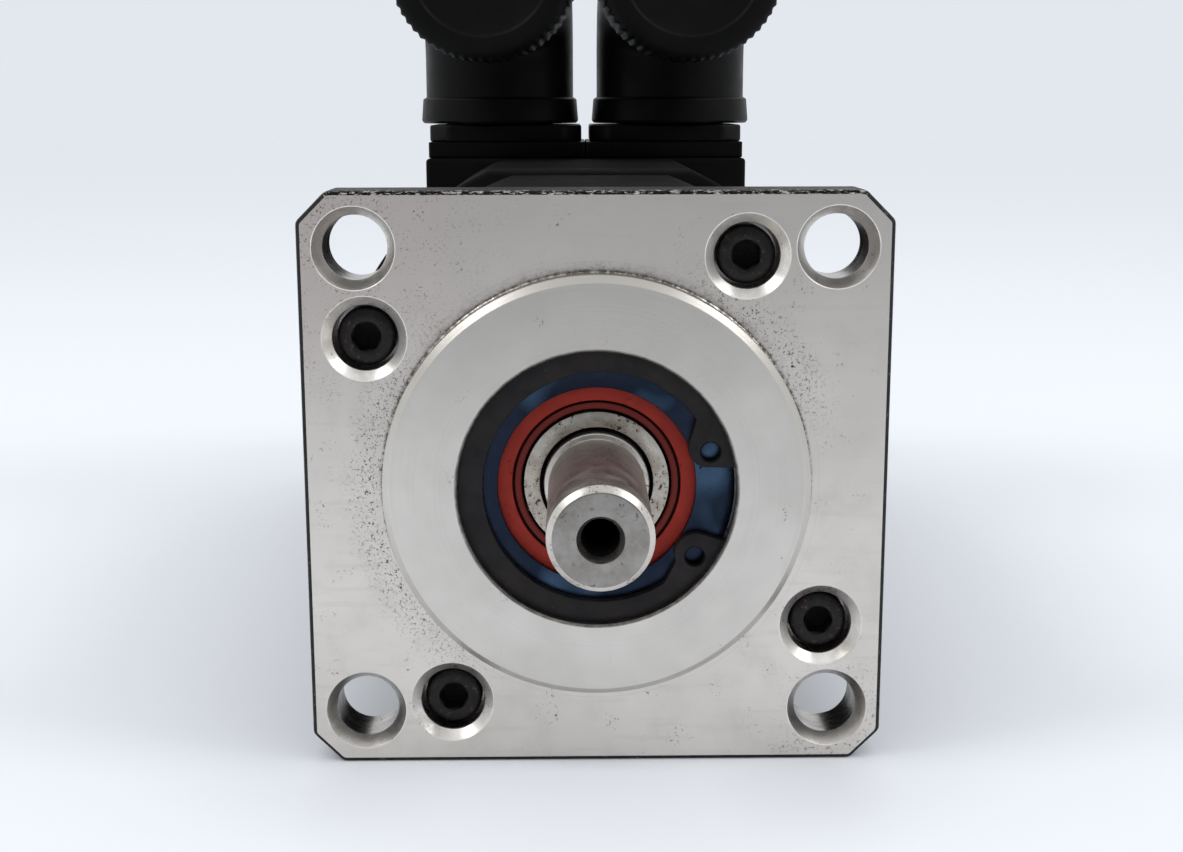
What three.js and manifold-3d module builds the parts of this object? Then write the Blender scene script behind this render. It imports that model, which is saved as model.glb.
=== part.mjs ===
// Inline planetary gear reducer with the servo motor that drives it, every piece a separate mesh.
// Millimetres, +Z up. The output shaft points along -Y. Pieces are drawn about the shaft axis with
// y = 0 on the flange's mounting face, and the finished group is moved so that its origin is under
// the middle of the assembly, on the surface that it lies on.
import * as THREE from 'three';
import { mergeVertices } from 'three/addons/utils/BufferGeometryUtils.js';
import Module from 'manifold-3d';

const wasm = await Module();
wasm.setup();

const TAU = 2 * Math.PI;
const degrees = THREE.MathUtils.degToRad;

// How finely round surfaces are faceted.
const LARGE = 30;
const MEDIUM = 20;
const SMALL = 10;
const PIN_FACETS = 16;
const PAST = 1; // how far a cutting tool runs past the face that it opens
const TOUCH = 0.05; // gap between two pieces that touch in the real object
const SEAT_PLAY = 0.03; // gap between a bearing's bore and its seat

// Output flange, its pilot boss and its rear hub.
const FLANGE_HALF = 27.5;
const FLANGE_CORNER = 2.8;
const FLANGE_BACK = 6.5;
const PILOT_RADIUS = 20;
const PILOT_FACE = -2.5;
const PILOT_CHAMFER = 0.3;
const HUB_RADIUS = 19;
const HUB_BACK = 20.4;
const BORE_RADIUS = 13;
const BORE_LIP_RADIUS = 11.5;
const BORE_SEAT_BACK = 19.7;
const MOUNT_HOLE_OFFSET = 22.27; // four holes on a 63 mm circle
const MOUNT_HOLE_RADIUS = 3;
const MOUNT_MOUTH_RADIUS = 3.85;
const MOUNT_MOUTH_DEPTH = 1.35;

// Flange screws (M3 socket head), sunk in counterbores.
const SCREW_CIRCLE = 25.59;
const SCREW_ANGLES = [57, 147, 237, 327];
const FLANGE_HEX_TURNS = [28, 8, 1, -6];
const SCREW_HEAD_RADIUS = 2.75;
const SCREW_HEAD_LENGTH = 3;
const SCREW_RADIUS = 1.5;
const SCREW_CLEARANCE = 0.1;
const SCREW_HEAD_RECESS = 2.95;
const SCREW_HEAD_EDGE = 0.25;
const HEX_ACROSS_FLATS = 2.5;
const HEX_DEPTH = 1.6;
const COUNTERBORE_RADIUS = 3.06;
const COUNTERBORE_MOUTH_RADIUS = 3.95;
const COUNTERBORE_MOUTH_DEPTH = 0.93;
const FLANGE_HEAD_FACE = 1.6;
const FLANGE_SCREW_LENGTH = 11;

// Retaining ring, support ring and output bearings (10 x 26 x 8).
const CIRCLIP_FRONT = -1.5;
const CIRCLIP_BACK = -0.3;
const CIRCLIP_RADIUS = 13.6;
const CIRCLIP_INNER_RADIUS = 11;
const CIRCLIP_ECCENTRICITY = 0.35;
const CIRCLIP_GROOVE_RADIUS = 13.7;
const CIRCLIP_GROOVE_PLAY = 0.03;
const CIRCLIP_ENDS = [8, 337]; // where the ring starts and stops, in degrees
const CIRCLIP_BAND = [36, 303]; // its plain band, between the two lugs
const CIRCLIP_LUGS = [
  { hole: [10.6, 3.4], nose: [10.3, 3.75], radius: 1.8, arc: [150, 270] },
  { hole: [9.2, -6.65], nose: [9.3, -6.4], radius: 2, arc: [70, 208] },
];
const CIRCLIP_HOLE_RADIUS = 1;
const SUPPORT_RING_INNER = 9.33;
const SUPPORT_RING_FRONT = -0.25;
const SUPPORT_RING_BACK = 0.55;
const INNER_RING_SETBACK = 0.2; // the inner rings stand this far behind the outer rings' front faces
const FRONT_BEARING = 0.6;
const REAR_BEARING = 11.6;
const SEAL_INNER = 7.1;
const SEAL_FRONT = 0.75;
const SEAL_BACK = 1.35;
const OUTPUT_BEARING = {
  seat: 5, innerShoulder: 6.86, outerShoulder: 11.1, outside: 12.97, width: 8,
  ballCircle: 9, ballRadius: 2.3, balls: 7, grooveClearance: 0.15, cageHalfWidth: 0.6,
};
const SPACER_INNER_RADIUS = 11.5;
const MOTOR_BEARING = {
  seat: 4, innerShoulder: 5.9, outerShoulder: 9.1, outside: 10.9, width: 7,
};

// Output shaft with its planet carrier.
const SHAFT_TIP = -20;
const SHAFT_RADIUS = 4.55;
const SHAFT_SEAT_RADIUS = 4.97;
const SHAFT_STEP = 0.3;
const SHAFT_SHOULDER_RADIUS = 6.5;
const SHAFT_TIP_CHAMFER = 0.5;
const TAP_RADIUS = 1.6;
const TAP_MOUTH_RADIUS = 2;
const TAP_MOUTH_DEPTH = 0.6;
const TAP_MOUTH_TAPER = 0.4;
const TAP_DEPTH = 10;
const CARRIER_RADIUS = 18;
const CARRIER_FRONT = 20.9;
const CARRIER_BACK = 24.9;

// Gear train: three planets between a fixed ring and a sun on the motor shaft, 4 to 1.
const MODULE = 0.9;
const PRESSURE_ANGLE = degrees(25);
const SUN_TEETH = 15;
const PLANET_TEETH = 15;
const RING_TEETH = SUN_TEETH + 2 * PLANET_TEETH;
const ADDENDUM = 0.9 * MODULE;
const DEDENDUM = 1.25 * MODULE;
const FLANK_CLEARANCE = 0.06;
const PLANET_CIRCLE = MODULE * (SUN_TEETH + PLANET_TEETH) / 2;
const PLANET_ANGLES = [90, 210, 330];
const GEAR_FRONT = 26;
const GEAR_BACK = 40;
const RING_GEAR_RADIUS = 23.15;
const PIN_RADIUS = 2.5;
const PIN_FRONT = 21.4;
const PIN_BACK = 41;
const PLANET_BORE = 2.6;

// Gear housing and adapter plate.
const GEAR_HOUSING_HALF = 27;
const GEAR_HOUSING_ROUND = 28.5;
const GEAR_HOUSING_FRONT = 6.6;
const GEAR_HOUSING_BACK = 44;
const GEAR_HOUSING_BORE = 23.2;
const HOUSING_REGISTER = 19.1;
const HOUSING_REGISTER_BACK = 12;
const MOUNT_SCALLOP_RADIUS = 5;
const TAPPED_DEPTH = 10.5;
const BODY_HALF = 27.5;
const BODY_ROUND = 30;
const ADAPTER_FRONT = 44.1;
const ADAPTER_BACK = 54;
const ADAPTER_BORE = 14.2;
const ADAPTER_SPIGOT_FRONT = 41.5;
const ADAPTER_HEAD_FACE = 53.6;
const ADAPTER_SCREW_LENGTH = 11;

// Sun pinion, clamp collar and its screw, reached through a plugged hole in the adapter.
const SUN_NECK_RADIUS = 5;
const SUN_HUB_RADIUS = 7;
const SUN_HUB_FRONT = 42;
const SUN_HUB_BACK = 52.5;
const SUN_BORE_FRONT = 44;
const COLLAR_RADIUS = 12.6;
const COLLAR_FRONT = 45;
const COLLAR_BACK = 52;
const COLLAR_MIDDLE = (COLLAR_FRONT + COLLAR_BACK) / 2;
const COLLAR_SLIT = 1.6;
const CLAMP_SCREW_HEIGHT = 8.8;
const CLAMP_SCREW_END = -8;
const CLAMP_HEAD_FACE = 7.2;
const PLUG_RADIUS = 2.85;
const PLUG_INNER_END = 18;
const PLUG_OUTER_END = 27.3;

// Motor: housing, stator, rotor, rear bracket, encoder and cover.
const MOTOR_FRONT = 54.1;
const MOTOR_BACK = 112;
const MOTOR_BORE = 22.6;
const MOTOR_LIP_RADIUS = 8;
const MOTOR_SEAT_RADIUS = 11.02;
const MOTOR_FRONT_BEARING = 55.05;
const MOTOR_REAR_BEARING = 104.05;
const STACK_FRONT = 68;
const STACK_BACK = 98;
const STATOR_RADIUS = 22.5;
const STATOR_BORE = 14.5;
const SLOT_COUNT = 9;
const SLOT_INNER = 15.6;
const SLOT_OUTER = 19.8;
const SLOT_HALF_ANGLE = degrees(11);
const SLOT_MOUTH_HALF_ANGLE = degrees(2.5);
const COIL_CLEARANCE = 0.3;
const COIL_OVERHANG = 4.5;
const COIL_END_RADIUS = 20.6;
const MAGNET_RADIUS = 14;
const ROTOR_CORE_RADIUS = 12;
const ROTOR_RADIUS = 5;
const ROTOR_FRONT = 44.5;
const ROTOR_SHOULDERS = [62.2, 103.9];
const ROTOR_STUB_RADIUS = 2.5;
const ROTOR_STUB_FRONT = 113;
const ROTOR_BACK = 116.5;
const BRACKET_FRONT = 102.8;
const BRACKET_BACK = 111.9;
const POST_RADIUS = 1.8;
const POST_CIRCLE = 16.5;
const POST_BACK = 117.9;
const BOARD_RADIUS = 19;
const BOARD_THICKNESS = 1.6;
const DISC_RADIUS = 9;
const DISC_FRONT = 114;
const DISC_THICKNESS = 1.2;
const COVER_FRONT = 112.1;
const COVER_BACK = 128;
const COVER_CAVITY_RADIUS = 21.5;
const COVER_CAVITY_BACK = 124.5;
const BOLT_CIRCLE = 26;
const BOLT_ANGLES = [45, 135, 225, 315];
const BOLT_HEAD_FACE = 127.7;
const BOLT_FRONT = 47;
const BOLT_TAP_FRONT = 46;

// Connector pad on the motor, and the two angled connectors on it.
const PAD_HALF = 23;
const PAD_FRONT = 88;
const PAD_BOTTOM = 15;
const PAD_TOP = 27.5;
const CONNECTOR_X = 12.7;
const CONNECTOR_Y = 100;
const WIRE_HOLE_RADIUS = 4.2;
const BASE_BOTTOM = 27.55;
const BASE_PLATE_TOP = 29.8;
const BASE_TOP = 32.2;
const BASE_SIDES = [0.6, 22.7];
const BASE_HALF_LENGTH = 10.4;
const BASE_INNER_EDGE = 0.05;
const BASE_BORE = 8.3;
const SPIGOT_RADIUS = 8;
const SPIGOT_BOTTOM = 28.2;
const COLLAR_RING_RADIUS = 11.7;
const COLLAR_RING_BOTTOM = 32.4;
const COLLAR_RING_TOP = 36.2;
const NECK_RADIUS = 10.95;
const BARREL_RADIUS = 11;
const BARREL_HEIGHT = 53;
const BARREL_LENGTH = 26.7;
const BARREL_SPLAY = 2; // degrees outward from straight ahead
const SOCKET_RADIUS = 8.5;
const SOCKET_LENGTH = 16.7;
const PASSAGE_RADIUS = 4;
const INSERT_RADIUS = 8.2;
const INSERT_BACK = 10.3;
const INSERT_FRONT = 16.3;
const CONTACT_TIPS = 23;
const CONTACT_RADIUS = 0.6;
const CONTACT_CIRCLE = 5.7;
const CAP_INNER_RADIUS = 11.3;
const CAP_RADIUS = 12.5;
const CAP_KNURL_DEPTH = 0.35;
const CAP_KNURLS = 30;
const CAP_BACK = 14;
const CAP_DISC_BACK = 27;
const CAP_FRONT = 30;
const CAP_RECESS_RADIUS = 9.1;
const CAP_RECESS_DEPTH = 0.4;

const finish = (color, roughness, metalness) =>
  new THREE.MeshStandardMaterial({ color, roughness, metalness });
const FINISHES = {
  flangeMetal: finish(0xc9cacb, 0.38, 1),
  blackMetal: finish(0x17181a, 0.45, 0.6),
  bluedSteel: finish(0x1d3650, 0.35, 0.9),
  circlipSteel: finish(0x2a2a2c, 0.4, 0.8),
  redSeal: finish(0xa8443c, 0.6, 0),
  bearingSteel: finish(0xb9bbb8, 0.25, 1),
  shaftSteel: finish(0xb2afae, 0.28, 1),
  screwSteel: finish(0x2e2e30, 0.45, 0.8),
  gearSteel: finish(0x8d9094, 0.35, 1),
  copper: finish(0xb06a3a, 0.45, 0.8),
  magnet: finish(0x6b6e73, 0.5, 0.7),
  lamination: finish(0x55585c, 0.55, 0.8),
  blackPlastic: finish(0x1b1b1c, 0.5, 0),
  insertPlastic: finish(0x2f3033, 0.6, 0),
  boardGreen: finish(0x1f5a3a, 0.6, 0),
  plugPlastic: finish(0x222224, 0.55, 0),
};

// ---------------------------------------------------------------- solids from three.js shapes

function solid(geometry) {
  const bare = geometry.clone();
  bare.deleteAttribute('normal');
  bare.deleteAttribute('uv');
  const merged = mergeVertices(bare, 1e-4);
  const index = merged.index.array;
  const position = merged.attributes.position.array;
  const kept = [];
  for (let i = 0; i < index.length; i += 3) {
    const [a, b, c] = index.slice(i, i + 3);
    if (a !== b && b !== c && c !== a) kept.push(a, b, c);
  }
  if (signedVolume(position, kept) < 0) kept.reverse();
  const mesh = new wasm.Mesh({ numProp: 3, vertProperties: position, triVerts: new Uint32Array(kept) });
  return new wasm.Manifold(mesh);
}

function signedVolume(position, index) {
  const corner = (i) => new THREE.Vector3().fromArray(position, 3 * index[i]);
  let volume = 0;
  for (let i = 0; i < index.length; i += 3) {
    volume += corner(i).dot(corner(i + 1).cross(corner(i + 2))) / 6;
  }
  return volume;
}

function toGeometry(manifold) {
  const mesh = manifold.getMesh();
  const geometry = new THREE.BufferGeometry();
  geometry.setAttribute('position', new THREE.BufferAttribute(mesh.vertProperties, 3));
  geometry.setIndex(new THREE.BufferAttribute(mesh.triVerts, 1));
  geometry.computeVertexNormals();
  return geometry;
}

const join = (first, ...others) => others.reduce((whole, piece) => whole.add(piece), first);
const cut = (first, ...tools) => tools.reduce((whole, tool) => whole.subtract(tool), first);

// Revolves (radius, y) points about the Y axis; a profile off the axis is closed on itself.
function turned(profile, facets = LARGE) {
  const points = profile.map(([radius, y]) => new THREE.Vector2(radius, y));
  const onAxis = profile[0][0] === 0 && profile.at(-1)[0] === 0;
  if (!onAxis) points.push(points[0].clone());
  return solid(new THREE.LatheGeometry(points, facets));
}

const disc = (radius, y0, y1, facets) => turned([[0, y0], [radius, y0], [radius, y1], [0, y1]], facets);
const ring = (inner, outer, y0, y1, facets) =>
  turned([[inner, y0], [outer, y0], [outer, y1], [inner, y1]], facets);

// Extrudes an outline drawn in (x, z) from y0 to y1.
function prism(shape, y0, y1, curveSegments = 4) {
  const geometry = new THREE.ExtrudeGeometry(shape, { depth: y1 - y0, bevelEnabled: false, curveSegments });
  return solid(geometry.rotateX(Math.PI / 2).translate(0, y1, 0));
}

function box(x0, x1, y0, y1, z0, z1) {
  const geometry = new THREE.BoxGeometry(x1 - x0, y1 - y0, z1 - z0);
  return solid(geometry.translate((x0 + x1) / 2, (y0 + y1) / 2, (z0 + z1) / 2));
}

const upright = (radius, z0, z1, facets = MEDIUM) =>
  disc(radius, -z1, -z0, facets).rotate([-90, 0, 0]);
const alongX = (radius, x0, x1, facets = SMALL) =>
  disc(radius, -x1, -x0, facets).rotate([0, 0, 90]);

function polygon(points) {
  return new THREE.Shape(points.map(([x, z]) => new THREE.Vector2(x, z)));
}

const polar = (radius, angle) => [radius * Math.cos(angle), radius * Math.sin(angle)];
const onCircle = (radius, angleDegrees) => polar(radius, degrees(angleDegrees));

// A square whose corners are cut by a circle about its centre.
function roundedSquare(half, radius) {
  const start = Math.acos(half / radius);
  const shape = new THREE.Shape();
  for (let quarter = 0; quarter < 4; quarter++) {
    const turn = quarter * Math.PI / 2;
    shape.absarc(0, 0, radius, turn + start, turn + Math.PI / 2 - start, false);
  }
  return shape;
}

function hexagon(acrossFlats, turn) {
  const radius = acrossFlats / Math.sqrt(3);
  return polygon([0, 1, 2, 3, 4, 5].map((k) => onCircle(radius, turn + 60 * k)));
}

// ---------------------------------------------------------------- assembly helpers

const assembly = new THREE.Group();

function add(name, piece, material, parent = assembly) {
  const mesh = new THREE.Mesh(toGeometry(piece), material);
  mesh.name = name;
  parent.add(mesh);
  return mesh;
}

// ---------------------------------------------------------------- fasteners

// A socket-head screw along +Y, its head's face at y = 0 and its hexagon turned as given.
function socketScrew(length, hexTurn = 0) {
  const blank = turned([
    [0, 0], [SCREW_HEAD_RADIUS - SCREW_HEAD_EDGE, 0], [SCREW_HEAD_RADIUS, SCREW_HEAD_EDGE],
    [SCREW_HEAD_RADIUS, SCREW_HEAD_LENGTH], [SCREW_RADIUS, SCREW_HEAD_LENGTH],
    [SCREW_RADIUS, SCREW_HEAD_LENGTH + length], [0, SCREW_HEAD_LENGTH + length],
  ], SMALL);
  return cut(blank, prism(hexagon(HEX_ACROSS_FLATS, hexTurn), -PAST, HEX_DEPTH));
}

function screwHoles(radius, circle, angles, y0, y1) {
  return angles.map((angle) => {
    const [x, z] = onCircle(circle, angle);
    return disc(radius, y0, y1, SMALL).translate([x, 0, z]);
  });
}

function placeScrews(prefix, length, circle, angles, headFace, backwards, hexTurns = []) {
  angles.forEach((angle, k) => {
    const [x, z] = onCircle(circle, angle);
    const mesh = add(`${prefix}_${k + 1}`, socketScrew(length, hexTurns[k]), FINISHES.screwSteel);
    mesh.position.set(x, headFace, z);
    if (backwards) mesh.rotation.z = Math.PI;
  });
}

// ---------------------------------------------------------------- output end

function outputFlange() {
  const c = FLANGE_HALF - FLANGE_CORNER;
  const h = FLANGE_HALF;
  const outline = polygon([[-c, -h], [c, -h], [h, -c], [h, c], [c, h], [-c, h], [-h, c], [-h, -c]]);
  const plate = prism(outline, 0, FLANGE_BACK);
  const pilot = turned([
    [0, PILOT_FACE], [PILOT_RADIUS - PILOT_CHAMFER, PILOT_FACE],
    [PILOT_RADIUS, PILOT_FACE + PILOT_CHAMFER], [PILOT_RADIUS, PAST], [0, PAST],
  ]);
  const hub = disc(HUB_RADIUS, FLANGE_BACK - PAST, HUB_BACK);
  const grooveFront = CIRCLIP_FRONT - CIRCLIP_GROOVE_PLAY;
  const grooveBack = CIRCLIP_BACK + CIRCLIP_GROOVE_PLAY;
  const bore = turned([
    [0, PILOT_FACE - PAST], [BORE_RADIUS, PILOT_FACE - PAST], [BORE_RADIUS, grooveFront],
    [CIRCLIP_GROOVE_RADIUS, grooveFront], [CIRCLIP_GROOVE_RADIUS, grooveBack], [BORE_RADIUS, grooveBack],
    [BORE_RADIUS, BORE_SEAT_BACK], [BORE_LIP_RADIUS, BORE_SEAT_BACK],
    [BORE_LIP_RADIUS, HUB_BACK + PAST], [0, HUB_BACK + PAST],
  ]);
  return cut(join(plate, pilot, hub), bore, ...mountHoles(), ...flangeScrewHoles());
}

// A conical mouth of the given radius and depth, carried on past the face that it opens.
function mouth(radius, depth, holeRadius) {
  const slope = (radius - holeRadius) / depth;
  return [[0, -PAST], [radius + PAST * slope, -PAST], [holeRadius, depth]];
}

function mountHoles() {
  const tool = turned([
    ...mouth(MOUNT_MOUTH_RADIUS, MOUNT_MOUTH_DEPTH, MOUNT_HOLE_RADIUS),
    [MOUNT_HOLE_RADIUS, FLANGE_BACK + PAST], [0, FLANGE_BACK + PAST],
  ], PIN_FACETS);
  const places = [[1, 1], [-1, 1], [-1, -1], [1, -1]];
  return places.map(([x, z]) => tool.translate([x * MOUNT_HOLE_OFFSET, 0, z * MOUNT_HOLE_OFFSET]));
}

function flangeScrewHoles() {
  const seat = FLANGE_HEAD_FACE + SCREW_HEAD_LENGTH;
  const shank = SCREW_RADIUS + SCREW_CLEARANCE;
  const tool = turned([
    ...mouth(COUNTERBORE_MOUTH_RADIUS, COUNTERBORE_MOUTH_DEPTH, COUNTERBORE_RADIUS),
    [COUNTERBORE_RADIUS, seat], [shank, seat], [shank, FLANGE_BACK + PAST], [0, FLANGE_BACK + PAST],
  ], SMALL);
  return SCREW_ANGLES.map((angle) => {
    const [x, z] = onCircle(SCREW_CIRCLE, angle);
    return tool.translate([x, 0, z]);
  });
}

// An eccentric band that narrows towards two lugs with round noses, one on each side of its gap.
function retainingRing() {
  const arc = ([from, to], steps, point) =>
    Array.from({ length: steps + 1 }, (_, k) => point(from + (to - from) * k / steps));
  const nose = ({ nose: [x, z], radius, arc: range }) => arc(range, 5, (angle) => {
    const [dx, dz] = onCircle(radius, angle);
    return [x + dx, z + dz];
  });
  const outer = arc(CIRCLIP_ENDS, LARGE, (angle) => onCircle(CIRCLIP_RADIUS, angle));
  const inner = arc([...CIRCLIP_BAND].reverse(), LARGE - 6, (angle) => {
    const [x, z] = onCircle(CIRCLIP_INNER_RADIUS, angle);
    return [x + CIRCLIP_ECCENTRICITY, z];
  });
  const [upperLug, lowerLug] = CIRCLIP_LUGS;
  const outline = polygon([...outer, ...nose(lowerLug), ...inner, ...nose(upperLug)]);
  const holes = CIRCLIP_LUGS.map(({ hole: [x, z] }) =>
    disc(CIRCLIP_HOLE_RADIUS, CIRCLIP_FRONT - PAST, CIRCLIP_BACK + PAST, SMALL).translate([x, 0, z]));
  return cut(prism(outline, CIRCLIP_FRONT, CIRCLIP_BACK), ...holes);
}

// The two rings of an output bearing, each with the groove that its balls run in.
function groovedRings(prefix, front, size) {
  const { seat, innerShoulder, outerShoulder, outside, width, ballCircle, ballRadius } = size;
  const middle = front + width / 2;
  const back = front + width;
  const grooveIn = ballCircle - ballRadius - size.grooveClearance;
  const grooveOut = ballCircle + ballRadius + size.grooveClearance;
  const half = 0.65 * ballRadius; // half the groove's width
  const outer = turned([
    [outerShoulder, front], [outside, front], [outside, back], [outerShoulder, back],
    [outerShoulder, middle + half], [grooveOut, middle + half / 2],
    [grooveOut, middle - half / 2], [outerShoulder, middle - half],
  ]);
  const inner = turned([
    [seat + SEAT_PLAY, front + INNER_RING_SETBACK], [innerShoulder, front + INNER_RING_SETBACK],
    [innerShoulder, middle - half], [grooveIn, middle - half / 2], [grooveIn, middle + half / 2],
    [innerShoulder, middle + half], [innerShoulder, back], [seat + SEAT_PLAY, back],
  ], MEDIUM);
  add(`${prefix}_outer_ring`, outer, FINISHES.bearingSteel);
  add(`${prefix}_inner_ring`, inner, FINISHES.bearingSteel);
}

// The two rings of a shielded motor bearing.
function plainRings(prefix, front, { seat, innerShoulder, outerShoulder, outside, width }) {
  const back = front + width;
  add(`${prefix}_outer_ring`, ring(outerShoulder, outside, front, back, MEDIUM), FINISHES.bearingSteel);
  const inner = ring(seat + SEAT_PLAY, innerShoulder, front, back, MEDIUM);
  add(`${prefix}_inner_ring`, inner, FINISHES.bearingSteel);
}

// The balls of an output bearing, held in their cage.
function ballSet(prefix, front, { width, ballCircle, ballRadius, balls, cageHalfWidth }) {
  const middle = front + width / 2;
  const half = 0.35 * ballRadius;
  const cage = [ballCircle - cageHalfWidth, ballCircle + cageHalfWidth];
  let set = ring(...cage, middle - half, middle + half, 3 * balls);
  for (let k = 0; k < balls; k++) {
    const [x, z] = polar(ballCircle, TAU * k / balls);
    set = set.add(solid(new THREE.SphereGeometry(ballRadius, 7, 4)).translate([x, middle, z]));
  }
  add(`${prefix}_balls`, set, FINISHES.bearingSteel);
}

function outputEnd() {
  add('output_flange', outputFlange(), FINISHES.flangeMetal);
  add('retaining_ring', retainingRing(), FINISHES.circlipSteel);
  const fitted = OUTPUT_BEARING.outside;
  const support = ring(SUPPORT_RING_INNER, fitted, SUPPORT_RING_FRONT, SUPPORT_RING_BACK);
  add('support_ring', support, FINISHES.bluedSteel);
  groovedRings('front_bearing', FRONT_BEARING, OUTPUT_BEARING);
  groovedRings('rear_bearing', REAR_BEARING, OUTPUT_BEARING);
  ballSet('front_bearing', FRONT_BEARING, OUTPUT_BEARING);
  ballSet('rear_bearing', REAR_BEARING, OUTPUT_BEARING);
  const sealOuter = OUTPUT_BEARING.outerShoulder - TOUCH;
  add('front_bearing_seal', ring(SEAL_INNER, sealOuter, SEAL_FRONT, SEAL_BACK), FINISHES.redSeal);
  const spacerFront = FRONT_BEARING + OUTPUT_BEARING.width + TOUCH;
  const spacer = ring(SPACER_INNER_RADIUS, fitted, spacerFront, REAR_BEARING - TOUCH);
  add('bearing_spacer', spacer, FINISHES.gearSteel);
  placeScrews('flange_screw', FLANGE_SCREW_LENGTH, SCREW_CIRCLE, SCREW_ANGLES, FLANGE_HEAD_FACE, false,
    FLANGE_HEX_TURNS);
}

// ---------------------------------------------------------------- gears, carrier and output shaft

function outputShaft() {
  const seatBack = REAR_BEARING + OUTPUT_BEARING.width + TOUCH;
  const blank = turned([
    [0, SHAFT_TIP], [SHAFT_RADIUS - SHAFT_TIP_CHAMFER, SHAFT_TIP],
    [SHAFT_RADIUS, SHAFT_TIP + SHAFT_TIP_CHAMFER], [SHAFT_RADIUS, SHAFT_STEP],
    [SHAFT_SEAT_RADIUS, SHAFT_STEP + 0.2], [SHAFT_SEAT_RADIUS, seatBack],
    [SHAFT_SHOULDER_RADIUS, seatBack], [SHAFT_SHOULDER_RADIUS, CARRIER_FRONT],
    [CARRIER_RADIUS, CARRIER_FRONT], [CARRIER_RADIUS, CARRIER_BACK], [0, CARRIER_BACK],
  ], MEDIUM);
  const mouthBack = SHAFT_TIP + TAP_MOUTH_DEPTH;
  const centreHole = turned([
    [0, SHAFT_TIP - PAST], [TAP_MOUTH_RADIUS, SHAFT_TIP - PAST], [TAP_MOUTH_RADIUS, mouthBack],
    [TAP_RADIUS, mouthBack + TAP_MOUTH_TAPER], [TAP_RADIUS, SHAFT_TIP + TAP_DEPTH],
    [0, SHAFT_TIP + TAP_DEPTH + 1],
  ], SMALL);
  const pinHoles = PLANET_ANGLES.map((angle) => {
    const [x, z] = onCircle(PLANET_CIRCLE, angle);
    return disc(PIN_RADIUS + TOUCH, PIN_FRONT - TOUCH, CARRIER_BACK + PAST, PIN_FACETS).translate([x, 0, z]);
  });
  return cut(blank, centreHole, ...pinHoles);
}

// Outline points of a gear whose first tooth is centred on the phase angle; flanks are involutes.
function toothPoints(teeth, tip, root, flankShift, phase) {
  const pitchRadius = MODULE * teeth / 2;
  const baseRadius = pitchRadius * Math.cos(PRESSURE_ANGLE);
  const involute = (radius) => {
    const angle = Math.acos(Math.min(1, baseRadius / radius));
    return Math.tan(angle) - angle;
  };
  const thickness = Math.PI / 2 / teeth + flankShift / pitchRadius + involute(pitchRadius);
  const halfAngle = (radius) => thickness - involute(Math.max(radius, baseRadius));
  const radii = root < baseRadius ? [root, baseRadius, pitchRadius, tip] : [root, pitchRadius, tip];
  const points = [];
  for (let tooth = 0; tooth < teeth; tooth++) {
    const centre = phase + TAU * tooth / teeth;
    for (const radius of radii) points.push(polar(radius, centre - halfAngle(radius)));
    for (const radius of [...radii].reverse()) points.push(polar(radius, centre + halfAngle(radius)));
  }
  return points;
}

function externalGear(teeth, phase, y0, y1) {
  const pitchRadius = MODULE * teeth / 2;
  const outline = toothPoints(teeth, pitchRadius + ADDENDUM, pitchRadius - DEDENDUM, -FLANK_CLEARANCE, phase);
  return prism(polygon(outline), y0, y1);
}

function ringGear() {
  const pitchRadius = MODULE * RING_TEETH / 2;
  const firstSpace = degrees(PLANET_ANGLES[0]);
  const opening = toothPoints(
    RING_TEETH, pitchRadius + 1.2 * MODULE, pitchRadius - ADDENDUM, FLANK_CLEARANCE, firstSpace,
  );
  const blank = disc(RING_GEAR_RADIUS, GEAR_FRONT, GEAR_BACK);
  return cut(blank, prism(polygon(opening), GEAR_FRONT - PAST, GEAR_BACK + PAST));
}

function planets() {
  const gear = cut(
    externalGear(PLANET_TEETH, 0, GEAR_FRONT, GEAR_BACK),
    disc(PLANET_BORE, GEAR_FRONT - PAST, GEAR_BACK + PAST, MEDIUM),
  );
  const pin = disc(PIN_RADIUS, PIN_FRONT, PIN_BACK, PIN_FACETS);
  PLANET_ANGLES.forEach((angle, k) => {
    const arm = new THREE.Group();
    arm.rotation.y = -degrees(angle);
    assembly.add(arm);
    add(`planet_gear_${k + 1}`, gear, FINISHES.gearSteel, arm).position.x = PLANET_CIRCLE;
    add(`planet_pin_${k + 1}`, pin, FINISHES.bearingSteel, arm).position.x = PLANET_CIRCLE;
  });
}

function sunPinion() {
  const gear = externalGear(SUN_TEETH, degrees(PLANET_ANGLES[0]), GEAR_FRONT, GEAR_BACK);
  const hub = turned([
    [0, GEAR_BACK - PAST], [SUN_NECK_RADIUS, GEAR_BACK - PAST], [SUN_NECK_RADIUS, SUN_HUB_FRONT],
    [SUN_HUB_RADIUS, SUN_HUB_FRONT], [SUN_HUB_RADIUS, SUN_HUB_BACK], [0, SUN_HUB_BACK],
  ], MEDIUM);
  return cut(join(gear, hub), disc(MOTOR_BEARING.seat + TOUCH, SUN_BORE_FRONT, SUN_HUB_BACK + PAST, MEDIUM));
}

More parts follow.
